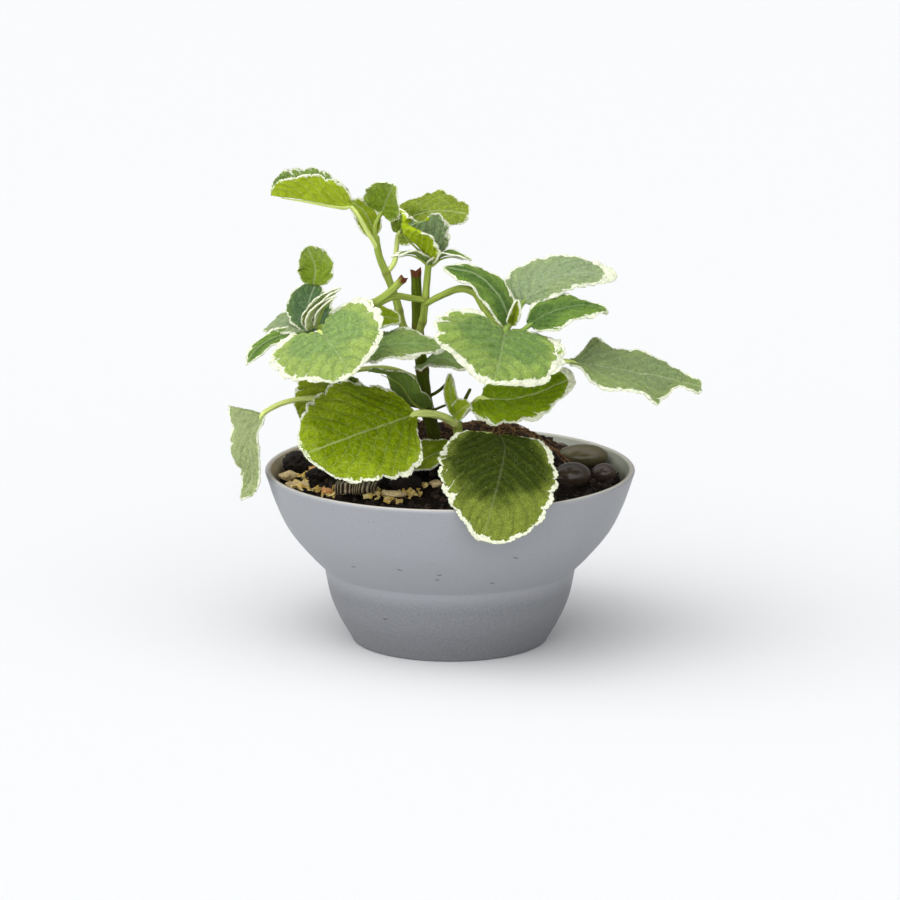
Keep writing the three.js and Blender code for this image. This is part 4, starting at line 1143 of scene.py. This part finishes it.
def splinter():
    """A small block one across."""
    bpy.ops.mesh.primitive_cube_add(size=1)


def splinter_size(draws):
    """Long, narrow and flat."""
    length = draws.uniform(1.0, 3.6)
    return [length, length * draws.uniform(0.35, 0.8), draws.uniform(0.5, 1.1)]


class PLECTRANTHUS_OT_soil(bpy.types.Operator):
    """Fill the pot with crumbly soil"""

    bl_idname = "plectranthus.soil"
    bl_label = "Soil"

    def execute(self, context):
        settings = context.scene.plectranthus_soil
        soil = soil_mesh()
        dress(soil, soil_finish(settings))
        smooth(soil, 60)
        settle(soil, ["soil"])
        crumbs = scattered("soil_crumbs", settings.crumbs, 11, pip, on_soil, pip_size)
        dress(crumbs, crumb_finish("peat_crumbs", *PEAT_CRUMBS))
        settle(crumbs, [])
        straw = scattered("straw_bits", settings.straw, 23, splinter, by_the_straw, splinter_size)
        dress(straw, crumb_finish("straw", *STRAW))
        settle(straw, [])
        return {"FINISHED"}


OFF_FIBRES = np.array([0.13, 0.21, 0.97])  # a direction that no fibre runs along


def strand(route, radii, sides=4, rings=7):
    """A thin closed strand along a route, as vertices in millimetres and faces."""
    shares = np.linspace(0, 1, rings)
    centres, along = route.at(shares), route.along(shares)
    level = unit(np.cross(along, OFF_FIBRES))
    upright = np.cross(level, along)
    angles = np.arange(sides) * TAU / sides
    radius = np.interp(shares, [0, 1], radii)
    rim = (level[:, None] * np.cos(angles)[:, None] + upright[:, None] * np.sin(angles)[:, None])
    places = (centres[:, None] + rim * radius[:, None, None]).reshape(-1, 3)
    faces = []
    for ring in range(rings - 1):
        for side in range(sides):
            a, b = ring * sides + side, ring * sides + (side + 1) % sides
            faces.append((a, b, b + sides, a + sides))
    faces.append(tuple(range(sides))[::-1])
    faces.append(tuple((rings - 1) * sides + side for side in range(sides)))
    return places, faces


def fibre_route(draws, x, y):
    """A fibre that wanders over the soil from a spot, its ends close to the surface."""
    heading = draws.uniform(0, TAU)
    length = draws.uniform(4, 15)
    points = []
    for step in range(4):
        heading += draws.uniform(-0.6, 0.6)
        lift = 0.5 + draws.uniform(0, 1.1) * (1 if 0 < step < 3 else 0.2)
        points.append((x, y, float(soil_height(x, y)) + lift))
        x += math.cos(heading) * length / 3
        y += math.sin(heading) * length / 3
    return Route(points)


class PLECTRANTHUS_OT_fibres(bpy.types.Operator):
    """Lay dry root fibres over the mound"""

    bl_idname = "plectranthus.fibres"
    bl_label = "Root fibres"

    def execute(self, context):
        settings = context.scene.plectranthus_soil
        draws = random.Random(5)
        places, faces, tones = [], [], []
        for _ in range(settings.fibres):
            x, y = draws.gauss(18, 22), draws.gauss(26, 17)
            if math.hypot(x, y) > SOIL_RADIUS - 6:
                continue
            route = fibre_route(draws, x, y)
            thick = draws.uniform(0.12, 0.4)
            corners, sides = strand(route, (thick, thick * 0.6))
            faces.extend(tuple(i + len(places) for i in side) for side in sides)
            places.extend(corners * MM)
            tones.extend([draws.random()] * len(corners))
        fibres = loose_piece("root_fibres", places, faces)
        remember(fibres, "tone", tones)
        tint = tuple(settings.fibre)
        dress(fibres, crumb_finish("dry_fibres", scaled(tint, 0.35), scaled(tint, 2.2)))
        settle(fibres, [])
        return {"FINISHED"}


# ---- What lies on the soil ----
def lump_mesh(name, lump, seed, *roughness):
    """A fine ball made rough and pressed to a lump's size, then turned and put in its place."""
    deselect()
    bpy.ops.mesh.primitive_ico_sphere_add(subdivisions=LUMP_DETAIL, radius=0.5)
    piece = named(name)
    ball = coordinates(piece)
    bulge = 1 + sum(roughened(ball, size, height, seed + shift) for size, height, shift in roughness)
    turn = np.array(Euler((0, 0, math.radians(lump["turn"]))).to_matrix())
    places = ball * bulge[:, None] * np.array(lump["size"])
    place_vertices(piece, (places @ turn.T + np.array(lump["at"])) * MM)
    return piece


def polished_finish(name, tint):
    """A polished pebble: banded and flecked under a smooth skin."""
    finish = Finish(name, Roughness=0.2, Specular_IOR_Level=0.35)
    place = finish.place()
    bands = finish.noise(place, 130.0, detail=5, roughness=0.6)
    flecks = finish.noise(place, 1100.0, detail=2).rise(0.62, 0.72, 0.0, 0.4)
    colour = finish.mix(flecks, finish.shades(bands, tint, 0.4, 1.2), scaled(tint, 2.0))
    return finish.done(colour, finish.bump(finish.noise(place, 260.0), 0.0004, 0.15))


class PLECTRANTHUS_OT_pebbles(bpy.types.Operator):
    """Set the polished pebbles on the soil"""

    bl_idname = "plectranthus.pebbles"
    bl_label = "Pebbles"

    def execute(self, context):
        for seed, (node, pebble) in enumerate(PEBBLES.items()):
            piece = lump_mesh("polished_" + node, pebble, seed, *WORN)
            dress(piece, polished_finish(node + "_skin", pebble["tint"]))
            smooth(piece, 80)
            settle(piece, [node])
        return {"FINISHED"}


class PLECTRANTHUS_OT_bark(bpy.types.Operator):
    """Set the rough bark lumps on the soil"""

    bl_idname = "plectranthus.bark"
    bl_label = "Bark lumps"

    def execute(self, context):
        for seed, (node, lump) in enumerate(BARK_LUMPS.items()):
            piece = lump_mesh("rough_" + node, lump, seed, *CRUMBLED)
            dress(piece, crumb_finish(node + "_skin", *BARK))
            smooth(piece, 40)
            settle(piece, [node])
        return {"FINISHED"}


def wood_finish(tone):
    """Split wood: fibres along the chip, pale on the faces and brown in the cracks."""
    dark, light = CHIP_TONES[tone]
    finish = Finish("chip_" + tone, Roughness=0.75)
    along, across, height = finish.kept("grain", "Vector").split()
    stretched = finish.joined(along * 0.35, across, height)
    fibres = finish.noise(stretched, 1.4, detail=5, roughness=0.65)
    cracks = finish.noise(finish.place(), 260.0).rise(0.55, 0.75, 0.0, 0.5)
    colour = finish.mix(cracks, finish.mix(fibres.rise(0.3, 0.65), dark, light), dark)
    return finish.done(colour, finish.bump(fibres, 0.0006, 0.7))


def husk_finish():
    """The husk: a pale crest on each rib, a dark groove between two, and brown blotches."""
    finish = Finish("dried_husk", Roughness=0.6)
    along = finish.kept("grain", "Vector").split()[0]
    share = along.math("DIVIDE", HUSK["size"][0]) + 0.5
    phase = share * HUSK_RIBS + (share * HUSK_UNEVEN).math("SINE") * 0.5
    bands = (phase * TAU).math("COSINE")
    ribs = finish.mix(bands.rise(-0.8, 0.9), *HUSK_TONES)
    blotches = finish.noise(finish.place(), 220.0, detail=4).rise(0.5, 0.7, 0.0, 0.6)
    return finish.done(finish.mix(blotches, ribs, HUSK_BLOTCH))


def scrap(name, shape, columns, rows, section):
    """A closed scrap: a tube of a given section, pinched at its ends, turned and put in place."""
    piece, across, along = sheet_of(name, columns, rows)
    length, width, height = shape["size"]
    turn = across * math.pi
    radius = section(turn, along)
    grain = np.stack([(along - 0.5) * length, radius * np.cos(turn) * width,
                      radius * np.sin(turn) * height], axis=1)
    tilt = Euler((math.radians(shape["tilt"]), 0, math.radians(shape["turn"] + 90)))
    placed = grain @ np.array(tilt.to_matrix()).T + np.array(shape["at"])
    place_vertices(piece, placed * MM)
    remember(piece, "grain", grain)
    weld(piece)
    return piece


def pinched(along, length):
    """A scrap's fullness: 1, and down to 0 over a share of its length at each end."""
    return np.clip(np.minimum(along, 1 - along) / length, 0, 1) ** 0.5


def split_block(seed):
    """The section of one chip: a rounded square that leans its own way."""
    start = random.Random(seed).uniform(0, TAU)

    def section(turn, along):
        corner = 0.5 / np.maximum(np.abs(np.cos(turn)), np.abs(np.sin(turn))) ** 0.55
        lean = 0.064 * np.sin(3 * turn + 5 * along + start)
        return (corner + lean) * pinched(along, 0.14) * (1 - 0.35 * (along - 0.4) ** 2)

    return section


def ribbed(turn, along):
    """The husk's section: round, with uneven ribs across its length."""
    phase = HUSK_RIBS * along + 0.5 * np.sin(HUSK_UNEVEN * along)
    worn = 0.14 + 0.05 * np.sin(3 * turn + 9 * along)
    ribs = 1 + worn * np.cos(TAU * phase)
    return 0.5 * pinched(along, 0.05) * ribs * (1 + 0.1 * np.sin(4 * turn + 6 * along))


class PLECTRANTHUS_OT_scraps(bpy.types.Operator):
    """Lay the dried husk and the wood chips on the soil"""

    bl_idname = "plectranthus.scraps"
    bl_label = "Husk and chips"

    def execute(self, context):
        finishes = {tone: wood_finish(tone) for tone in CHIP_TONES}
        for seed, (node, chip) in enumerate(CHIPS.items()):
            piece = scrap("split_" + node, chip, 28, 18, split_block(seed))
            dress(piece, finishes[chip["tone"]])
            smooth(piece, 32)
            settle(piece, [node])
        husk = scrap("ribbed_dried_husk", HUSK, 40, 150, ribbed)
        dress(husk, husk_finish())
        smooth(husk, 50)
        settle(husk, ["dried_husk"])
        return {"FINISHED"}


# ---- Stems ----
SCAR_REACH = 0.9  # millimetres either side of a node's ring
HAIR_WIDTH = 0.06  # half width of a hair at its root, as a share of its length
EDGE_HAIRS, STEM_HAIRS, BLADE_HAIRS = 0.5, 0.08, 0.006  # share of the corners that carry a hair
STEM_MARGIN = 99  # stands in for a stem's distance from a leaf's edge
OFF_STEMS = np.array([0.11, 0.93, 0.35])  # a direction that no stem runs along
CUT_END, ROUND_END = 3, 1.2  # how much of a stem each kind of end takes up
CAP_RINGS = 5  # rings of faces in each rounded or ragged end


def stem_mesh(name, route, radius, cut=False, nodes=(), around=20):
    """A tapering stem with swollen nodes. It ends in a round tip, or ragged where it was cut."""
    line = Route(route)
    cap = CUT_END if cut else ROUND_END
    rings = 2 * CAP_RINGS + max(4, int(line.length / 0.9))
    piece, across, along = sheet_of(name, around, rings)
    turn = across * math.pi
    run = np.interp(along * rings, [0, CAP_RINGS, rings - CAP_RINGS, rings],
                    [0, cap, line.length - cap, line.length])
    share = run / line.length
    centre, heading = line.at(share), line.along(share)
    level = unit(np.cross(heading, OFF_STEMS))
    upright = np.cross(level, heading)
    size = np.interp(share, [0, 1], radius)
    size = size * (1 + 0.03 * np.sin(3 * turn + 0.25 * run) + 0.02 * np.sin(0.9 * run))
    scar = np.zeros_like(run)
    for node in nodes:
        gap = (run - node * line.length) / SCAR_REACH
        size = size * (1 + 0.16 * np.exp(-(gap / 2.2) ** 2))
        scar = np.maximum(scar, 0.4 * np.exp(-gap ** 2))
    from_end = line.length - run
    close = np.clip(np.minimum(run, from_end) / (0.25 * cap if cut else cap), 0, 1)
    if cut:
        scar = np.maximum(scar, np.clip(1.35 - from_end / 3, 0, 1))
        horns = 1.7 * np.cos(2 * turn + 0.6) + 1.1 * np.sin(5 * turn) + 0.5 * np.sin(9 * turn + 2)
        near = np.clip(1 - from_end / cap, 0, 1) * close * radius[1] / 2
        centre = centre + heading * (horns * near)[:, None]
        size = size * (1 + (0.18 + 0.12 * np.sin(4 * turn)) * near)
    size = size * np.sqrt(close * (2 - close))
    ring = level * np.cos(turn)[:, None] + upright * np.sin(turn)[:, None]
    place_vertices(piece, (centre + ring * size[:, None]) * MM)
    remember(piece, "stem_run", np.stack([turn * radius[0], run, scar], axis=1))
    remember(piece, "blade_mm", np.stack([turn, run, np.full_like(run, STEM_MARGIN)], axis=1))
    remember(piece, "vein_phase", run * 0.1)
    weld(piece)
    return piece


# ---- Leaves ----
def blade_outline(share, broadest):
    """Half width of a blade as a share of its greatest."""
    towards_tip = 1 - broadest
    value = (share + 0.02) ** broadest * (1.01 - share) ** towards_tip
    return value / (broadest ** broadest * towards_tip ** towards_tip)


def of_half(value, hand):
    """The value for each corner, where a blade's two halves may have their own."""
    if isinstance(value, tuple):
        return np.where(hand < 0, value[0], value[1])
    return np.full_like(hand, value)


def edge_gain(leaf, share, hand):
    """How much wider a blade is for its own horns and notches."""
    gain = np.ones_like(share)
    for half, at, by, spread in leaf.get("edge", ()):
        gain = gain + np.where(hand == half, by * np.exp(-((share - at) / spread) ** 2), 0)
    return gain


def blade_widths(leaf, share, along, hand, out):
    """Half the toothed blade's width at each corner, and how far out from the midrib it lies."""
    teeth = leaf["teeth"]
    scallop = np.abs(np.sin(math.pi * teeth * along)) ** 0.75
    tooth = 1 + TOOTH_DEPTH * (2 * scallop - 1) * out ** 6
    outline = blade_outline(share, of_half(leaf.get("broadest", BROADEST_AT), hand))
    outline = outline * edge_gain(leaf, share, hand) * of_half(leaf.get("halves", 1), hand)
    half_width = leaf["width"] / 2 * outline * tooth
    small = FINE_TOOTH_DEPTH * min(1, leaf["width"] / 30)
    fine = small * np.abs(np.sin(math.pi * teeth * FINE_TEETH * along)) * out ** 12
    return half_width, half_width * out + fine


def quilt(leaf, quilting, point, phase, share, out, reach):
    """How far each corner rises: pillows between the veins, a groove on the midrib, and lumps."""
    size = min(1, leaf["width"] / 35)
    pillow = np.abs(np.sin(math.pi * phase)) ** 0.6 - 0.65
    calm = np.clip((1 - out) * 6, 0, 1) * np.clip((1 - share) * 8, 0, 1) * np.clip(reach / 2, 0, 1)
    groove = 0.5 * size * np.exp(-((reach / (1.1 * size)) ** 2)) * (1 - share)
    lumps = roughened(point, 2.6, 0.3 * size) + roughened(point, 9, 0.5 * size, seed=3)
    ruffle = roughened(point, 4.0, 0.8 * size, seed=5) * out ** 4
    return quilting * size * pillow * calm - groove + lumps + ruffle


def edge_margin(leaf, length, half_width, share, out):
    """How far each corner lies from the edge. A small leaf's is stretched, to narrow its cream."""
    sideways = (1 - out) * half_width + 3 * np.exp(-share / 0.04) * (1 - out)
    tipwards = (1 - share) * length + 0.3
    margin = 1 / np.sqrt(1 / np.maximum(sideways, 1e-3) ** 2 + 1 / tipwards ** 2)
    return margin / min(1, max(0.5, leaf["width"] / 40))


def blade_mesh(name, leaf, settings):
    """A blade: a fine sheet laid along the midrib, waved, quilted and toothed, given thickness."""
    midrib = Route(leaf["midrib"])
    teeth = leaf["teeth"]
    columns = 2 * max(6, round(leaf["width"] / 2 / CELL))
    rows = teeth * max(8, round(midrib.length / teeth / CELL * 1.4))
    piece, across, along = sheet_of(name, columns, rows)
    share = 0.5 * along + 0.25 * (1 - np.cos(math.pi * along))
    hand, out = np.sign(across.round(6)), np.abs(across)
    centre, heading = midrib.at(share), midrib.along(share)
    up = np.array(leaf["up"], float)
    normal = unit(up - heading * (heading @ up)[:, None])
    side = np.cross(heading, normal)

    half_width, reach = blade_widths(leaf, share, along, hand, out)
    fold, curl = np.radians(of_half(leaf["fold"], hand)), math.radians(leaf.get("curl", 0))
    mean_turn, turn = fold + curl * out / 2, fold + curl * out
    wave = np.sin(TAU * (2.5 * share + 0.2 * hand)) * leaf["wave"] * out ** 2
    lobe = of_half(leaf.get("lobe", 0), hand) * out ** 1.5 * (1 - share) ** 3
    point = (centre + side * (hand * reach * np.cos(mean_turn))[:, None]
             + normal * (reach * np.sin(mean_turn) + wave)[:, None] - heading * lobe[:, None])
    face = normal * np.cos(turn)[:, None] - side * (hand * np.sin(turn))[:, None]

    veins = round(0.8 * teeth) + 1
    phase = veins * (share - VEIN_SLANT * out ** 1.1) + 0.15
    rise = quilt(leaf, settings.quilting / MM, point, phase, share, out, reach)
    place_vertices(piece, (point + face * rise[:, None]) * MM)
    margin = edge_margin(leaf, midrib.length, half_width, share, out)
    remember(piece, "blade_mm", np.stack([hand * reach, share * midrib.length, margin], axis=1))
    remember(piece, "vein_phase", phase)
    remember(piece, "stem_run", np.zeros((len(point), 3)))
    thickness = piece.modifiers.new("thickness", "SOLIDIFY")
    thickness.thickness = settings.blade
    thickness.offset = 0
    thickness.material_offset = 1
    return piece


def stalk_mesh(name, leaf):
    """The petiole, which runs on under the blade as its midrib and thins out towards the tip."""
    midrib = Route(leaf["midrib"])
    stalk = leaf.get("stalk", 0.8)
    up = np.array(leaf["up"], float)
    under = []
    for share in (0.06, 0.3, 0.6, 0.86):
        heading = midrib.along(share)
        normal = unit(up - heading * (heading @ up))
        sunk = leaf.get("sunk", 0.75) + stalk * (0.55 if share > 0.1 else 0.2) * (1 - share)
        under.append(tuple(midrib.at(share) - normal * sunk))
    start = leaf.get("petiole", leaf["midrib"][:1])
    line = Route([*start, *under])
    piece = stem_mesh(name, [*start, *under], (stalk, stalk), around=12)
    share = vectors_of(piece.data.attributes["stem_run"].data)[:, 1] / line.length
    base = Route([*start, under[0]]).length / line.length
    thin = np.interp(share, [0, base, 1], [1, 0.85, 0.2])
    centre = line.at(share)
    places = coordinates(piece) / MM
    place_vertices(piece, (centre + (places - centre) * thin[:, None]) * MM)
    return piece


def down_on(piece, settings):
    """Short hairs, each a thin three-sided spike, along the leaves' edges and over the stems."""
    places = coordinates(piece)
    draws = np.random.default_rng(len(places))
    outwards = vectors_of(piece.data.vertex_normals)
    margin = vectors_of(piece.data.attributes["blade_mm"].data)[:, 2]
    on_blade = np.where(margin < 0.3, EDGE_HAIRS, BLADE_HAIRS)
    share = np.where(margin > STEM_MARGIN / 2, STEM_HAIRS, on_blade)
    keep = draws.random(len(places)) < share * settings.hairiness
    roots, outwards = places[keep], outwards[keep]
    lean = unit(outwards + 0.6 * draws.normal(size=roots.shape))
    across = unit(np.cross(lean, outwards + np.array([0.3, 0.2, 0.1])))
    third = np.cross(lean, across)
    tips = roots + lean * (settings.hair * draws.uniform(0.5, 1.3, len(roots)))[:, None]
    width = settings.hair * HAIR_WIDTH
    corners = [roots + width * (across * math.cos(a) + third * math.sin(a))
               for a in (0, TAU / 3, 2 * TAU / 3)]
    spikes = np.stack([*corners, tips], axis=1).reshape(-1, 3)
    first = np.arange(len(roots)) * 4
    sides = np.stack([np.stack([first + a, first + b, first + 3], axis=1)
                      for a, b in ((0, 1), (1, 2), (2, 0))], axis=1)
    return loose_piece("down", spikes, sides.reshape(-1, 3).tolist())


def whole_leaf(name, leaf, settings, *skins):
    """A blade and its stalk as one piece. The skins are the upper face's, the underside's, the stalk's."""
    blade = blade_mesh(name, leaf, settings)
    dress(blade, *skins)
    pick(blade)
    bpy.ops.object.modifier_apply(modifier="thickness")
    handle = stalk_mesh(name + "_stalk", leaf)
    dress(handle, *skins)
    for face in handle.data.polygons:
        face.material_index = 2
    return joined(name, [blade, handle])


def with_down(piece, settings, hair):
    """The finished piece with its hairs."""
    hairs = down_on(piece, settings)
    dress(hairs, hair)
    return joined(piece.name, [piece, hairs])


class PLECTRANTHUS_OT_leaves(bpy.types.Operator):
    """Grow the large leaves"""

    bl_idname = "plectranthus.leaves"
    bl_label = "Large leaves"

    def execute(self, context):
        settings = context.scene.plectranthus_plant
        pale = stem_finish("pale_petiole", PALE_PETIOLE, aged=False)
        green = stem_finish("green_petiole", GREEN_PETIOLE, aged=False)
        hair = hair_finish()
        for node, leaf in LARGE_LEAVES.items():
            stalk = green if leaf.get("green_stalk") else pale
            piece = whole_leaf("blade_of_" + node, leaf, settings, leaf_finish(leaf["look"]),
                               underside_finish(leaf["look"]), stalk)
            smooth(piece, 60)
            piece = with_down(piece, settings, hair)
            settle(piece, [node])
        return {"FINISHED"}


class PLECTRANTHUS_OT_stems(bpy.types.Operator):
    """Grow the stems with their small leaves"""

    bl_idname = "plectranthus.stems"
    bl_label = "Stems and shoots"

    def execute(self, context):
        settings = context.scene.plectranthus_plant
        old = stem_finish("old_stem", tuple(settings.old_bark), aged=True)
        young = stem_finish("young_stem", tuple(settings.young_stem), aged=False)
        hair = hair_finish()
        looks = sorted({leaf["look"] for leaves in SMALL_LEAVES.values() for leaf in leaves})
        skins = {look: (leaf_finish(look), underside_finish(look), young) for look in looks}
        for node, stem in STEMS.items():
            pieces = [stem_mesh("grown_" + node, stem["route"], stem["radius"],
                                stem.get("cut", False), stem["nodes"])]
            if PRUNED_BRANCH["on"] == node:
                pieces.append(stem_mesh("pruned", PRUNED_BRANCH["route"], PRUNED_BRANCH["radius"],
                                        cut=True, nodes=PRUNED_BRANCH["nodes"]))
            if node == "main_stem":
                pieces.extend(stem_mesh("twig", route, radii, around=10) for route, radii in TWIGS)
            for piece in pieces:
                dress(piece, old if stem["slot"] == "stem" else young)
            for leaf in SMALL_LEAVES[node]:
                pieces.append(whole_leaf("small_leaf", leaf, settings, *skins[leaf["look"]]))
            piece = joined("grown_" + node, pieces)
            smooth(piece, 60)
            piece = with_down(piece, settings, hair)
            settle(piece, [node])
        return {"FINISHED"}


# ---- The studio ----
FLOOR_SIZE = 40.0
FLOOR_GAP = 0.0003
BRIGHTEST = (-0.33, -0.7, 0.64)  # where the air is brightest
DIMMEST = -0.2  # how far from there it is dimmest, as a cosine
AIR_COLOUR = (0.97, 0.985, 1, 1)
KEY_FROM = (-0.5, -0.5, 1.2)
KEY_WIDTH = math.radians(40)
CLIP_END = 100


def lay_floor(settings):
    """A pale floor, a hair below the foot so that the two don't flicker."""
    deselect()
    bpy.ops.mesh.primitive_plane_add(size=FLOOR_SIZE, location=(0, 0, -FLOOR_GAP))
    floor = named("studio_floor")
    dress(floor, Finish("pale_floor", Roughness=0.8, Specular_IOR_Level=0.1).done(tuple(settings.floor)))


def fill_air(settings):
    """Soft light from all round, strongest from the upper left behind the camera."""
    world = bpy.data.worlds.new("studio_air")
    world.use_nodes = True
    tree = world.node_tree
    towards = tree.nodes.new("ShaderNodeVectorMath")
    towards.operation = "DOT_PRODUCT"
    towards.inputs[1].default_value = Vector(BRIGHTEST).normalized()
    strength = tree.nodes.new("ShaderNodeMapRange")
    strength.interpolation_type = "SMOOTHSTEP"
    for socket, value in (("From Min", DIMMEST), ("From Max", 1.0), ("To Min", settings.horizon),
                          ("To Max", settings.zenith)):
        strength.inputs[socket].default_value = value
    background = tree.nodes["Background"]
    background.inputs["Color"].default_value = AIR_COLOUR
    way = tree.nodes.new("ShaderNodeTexCoord").outputs["Generated"]
    tree.links.new(way, towards.inputs[0])
    tree.links.new(towards.outputs["Value"], strength.inputs["Value"])
    tree.links.new(strength.outputs["Result"], background.inputs["Strength"])
    return world


def hang_key(settings):
    """One broad soft light."""
    sun = bpy.data.lights.new("key", "SUN")
    sun.energy = settings.key
    sun.angle = KEY_WIDTH
    key = bpy.data.objects.new("key", sun)
    key.rotation_euler = (-Vector(KEY_FROM)).to_track_quat("-Z", "Y").to_euler()
    bpy.context.scene.collection.objects.link(key)


def set_camera(settings):
    """The camera at the photograph's viewing angle."""
    camera = bpy.data.cameras.new("photo_camera")
    camera.lens = settings.lens
    camera.sensor_width = SENSOR_WIDTH
    camera.clip_end = CLIP_END
    eye = bpy.data.objects.new("photo_camera", camera)
    back = settings.distance * math.cos(settings.elevation)
    lift = settings.distance * math.sin(settings.elevation)
    eye.location = Vector((0, -back, settings.aim_height + lift))
    eye.rotation_euler = (math.pi / 2 - settings.elevation, 0, 0)
    bpy.context.scene.collection.objects.link(eye)
    return eye


class PLECTRANTHUS_OT_studio(bpy.types.Operator):
    """Lay the floor and set the light and the camera"""

    bl_idname = "plectranthus.studio"
    bl_label = "Studio"

    def execute(self, context):
        settings = context.scene.plectranthus_studio
        lay_floor(settings)
        hang_key(settings)
        context.scene.world = fill_air(settings)
        context.scene.view_settings.view_transform = "Standard"
        context.scene.camera = set_camera(settings)
        return {"FINISHED"}


class PLECTRANTHUS_PT_panel(bpy.types.Panel):
    """Lists the steps in their order"""

    bl_idname = "PLECTRANTHUS_PT_panel"
    bl_label = "Potted Plectranthus"
    bl_space_type = "VIEW_3D"
    bl_region_type = "UI"
    bl_category = "Plectranthus"

    def draw(self, context):
        for operator in OPERATORS:
            self.layout.operator(operator.bl_idname)
        for name, group in SETTINGS.items():
            box = self.layout.box()
            for setting in group.__annotations__:
                box.prop(getattr(context.scene, name), setting)


OPERATORS = (
    PLECTRANTHUS_OT_pot,
    PLECTRANTHUS_OT_soil,
    PLECTRANTHUS_OT_fibres,
    PLECTRANTHUS_OT_pebbles,
    PLECTRANTHUS_OT_bark,
    PLECTRANTHUS_OT_scraps,
    PLECTRANTHUS_OT_stems,
    PLECTRANTHUS_OT_leaves,
    PLECTRANTHUS_OT_studio,
)
SETTINGS = {
    "plectranthus_pot": PotSettings,
    "plectranthus_soil": SoilSettings,
    "plectranthus_plant": PlantSettings,
    "plectranthus_studio": StudioSettings,
}


def register():
    for group in (*SETTINGS.values(), *OPERATORS, PLECTRANTHUS_PT_panel):
        bpy.utils.register_class(group)
    for name, group in SETTINGS.items():
        setattr(bpy.types.Scene, name, bpy.props.PointerProperty(type=group))


def unregister():
    for name in SETTINGS:
        delattr(bpy.types.Scene, name)
    for group in (PLECTRANTHUS_PT_panel, *reversed(OPERATORS), *reversed(SETTINGS.values())):
        bpy.utils.unregister_class(group)


def main():
    register()
    for operator in OPERATORS:
        group, name = operator.bl_idname.split(".")
        getattr(getattr(bpy.ops, group), name)()


if __name__ == "__main__":
    main()
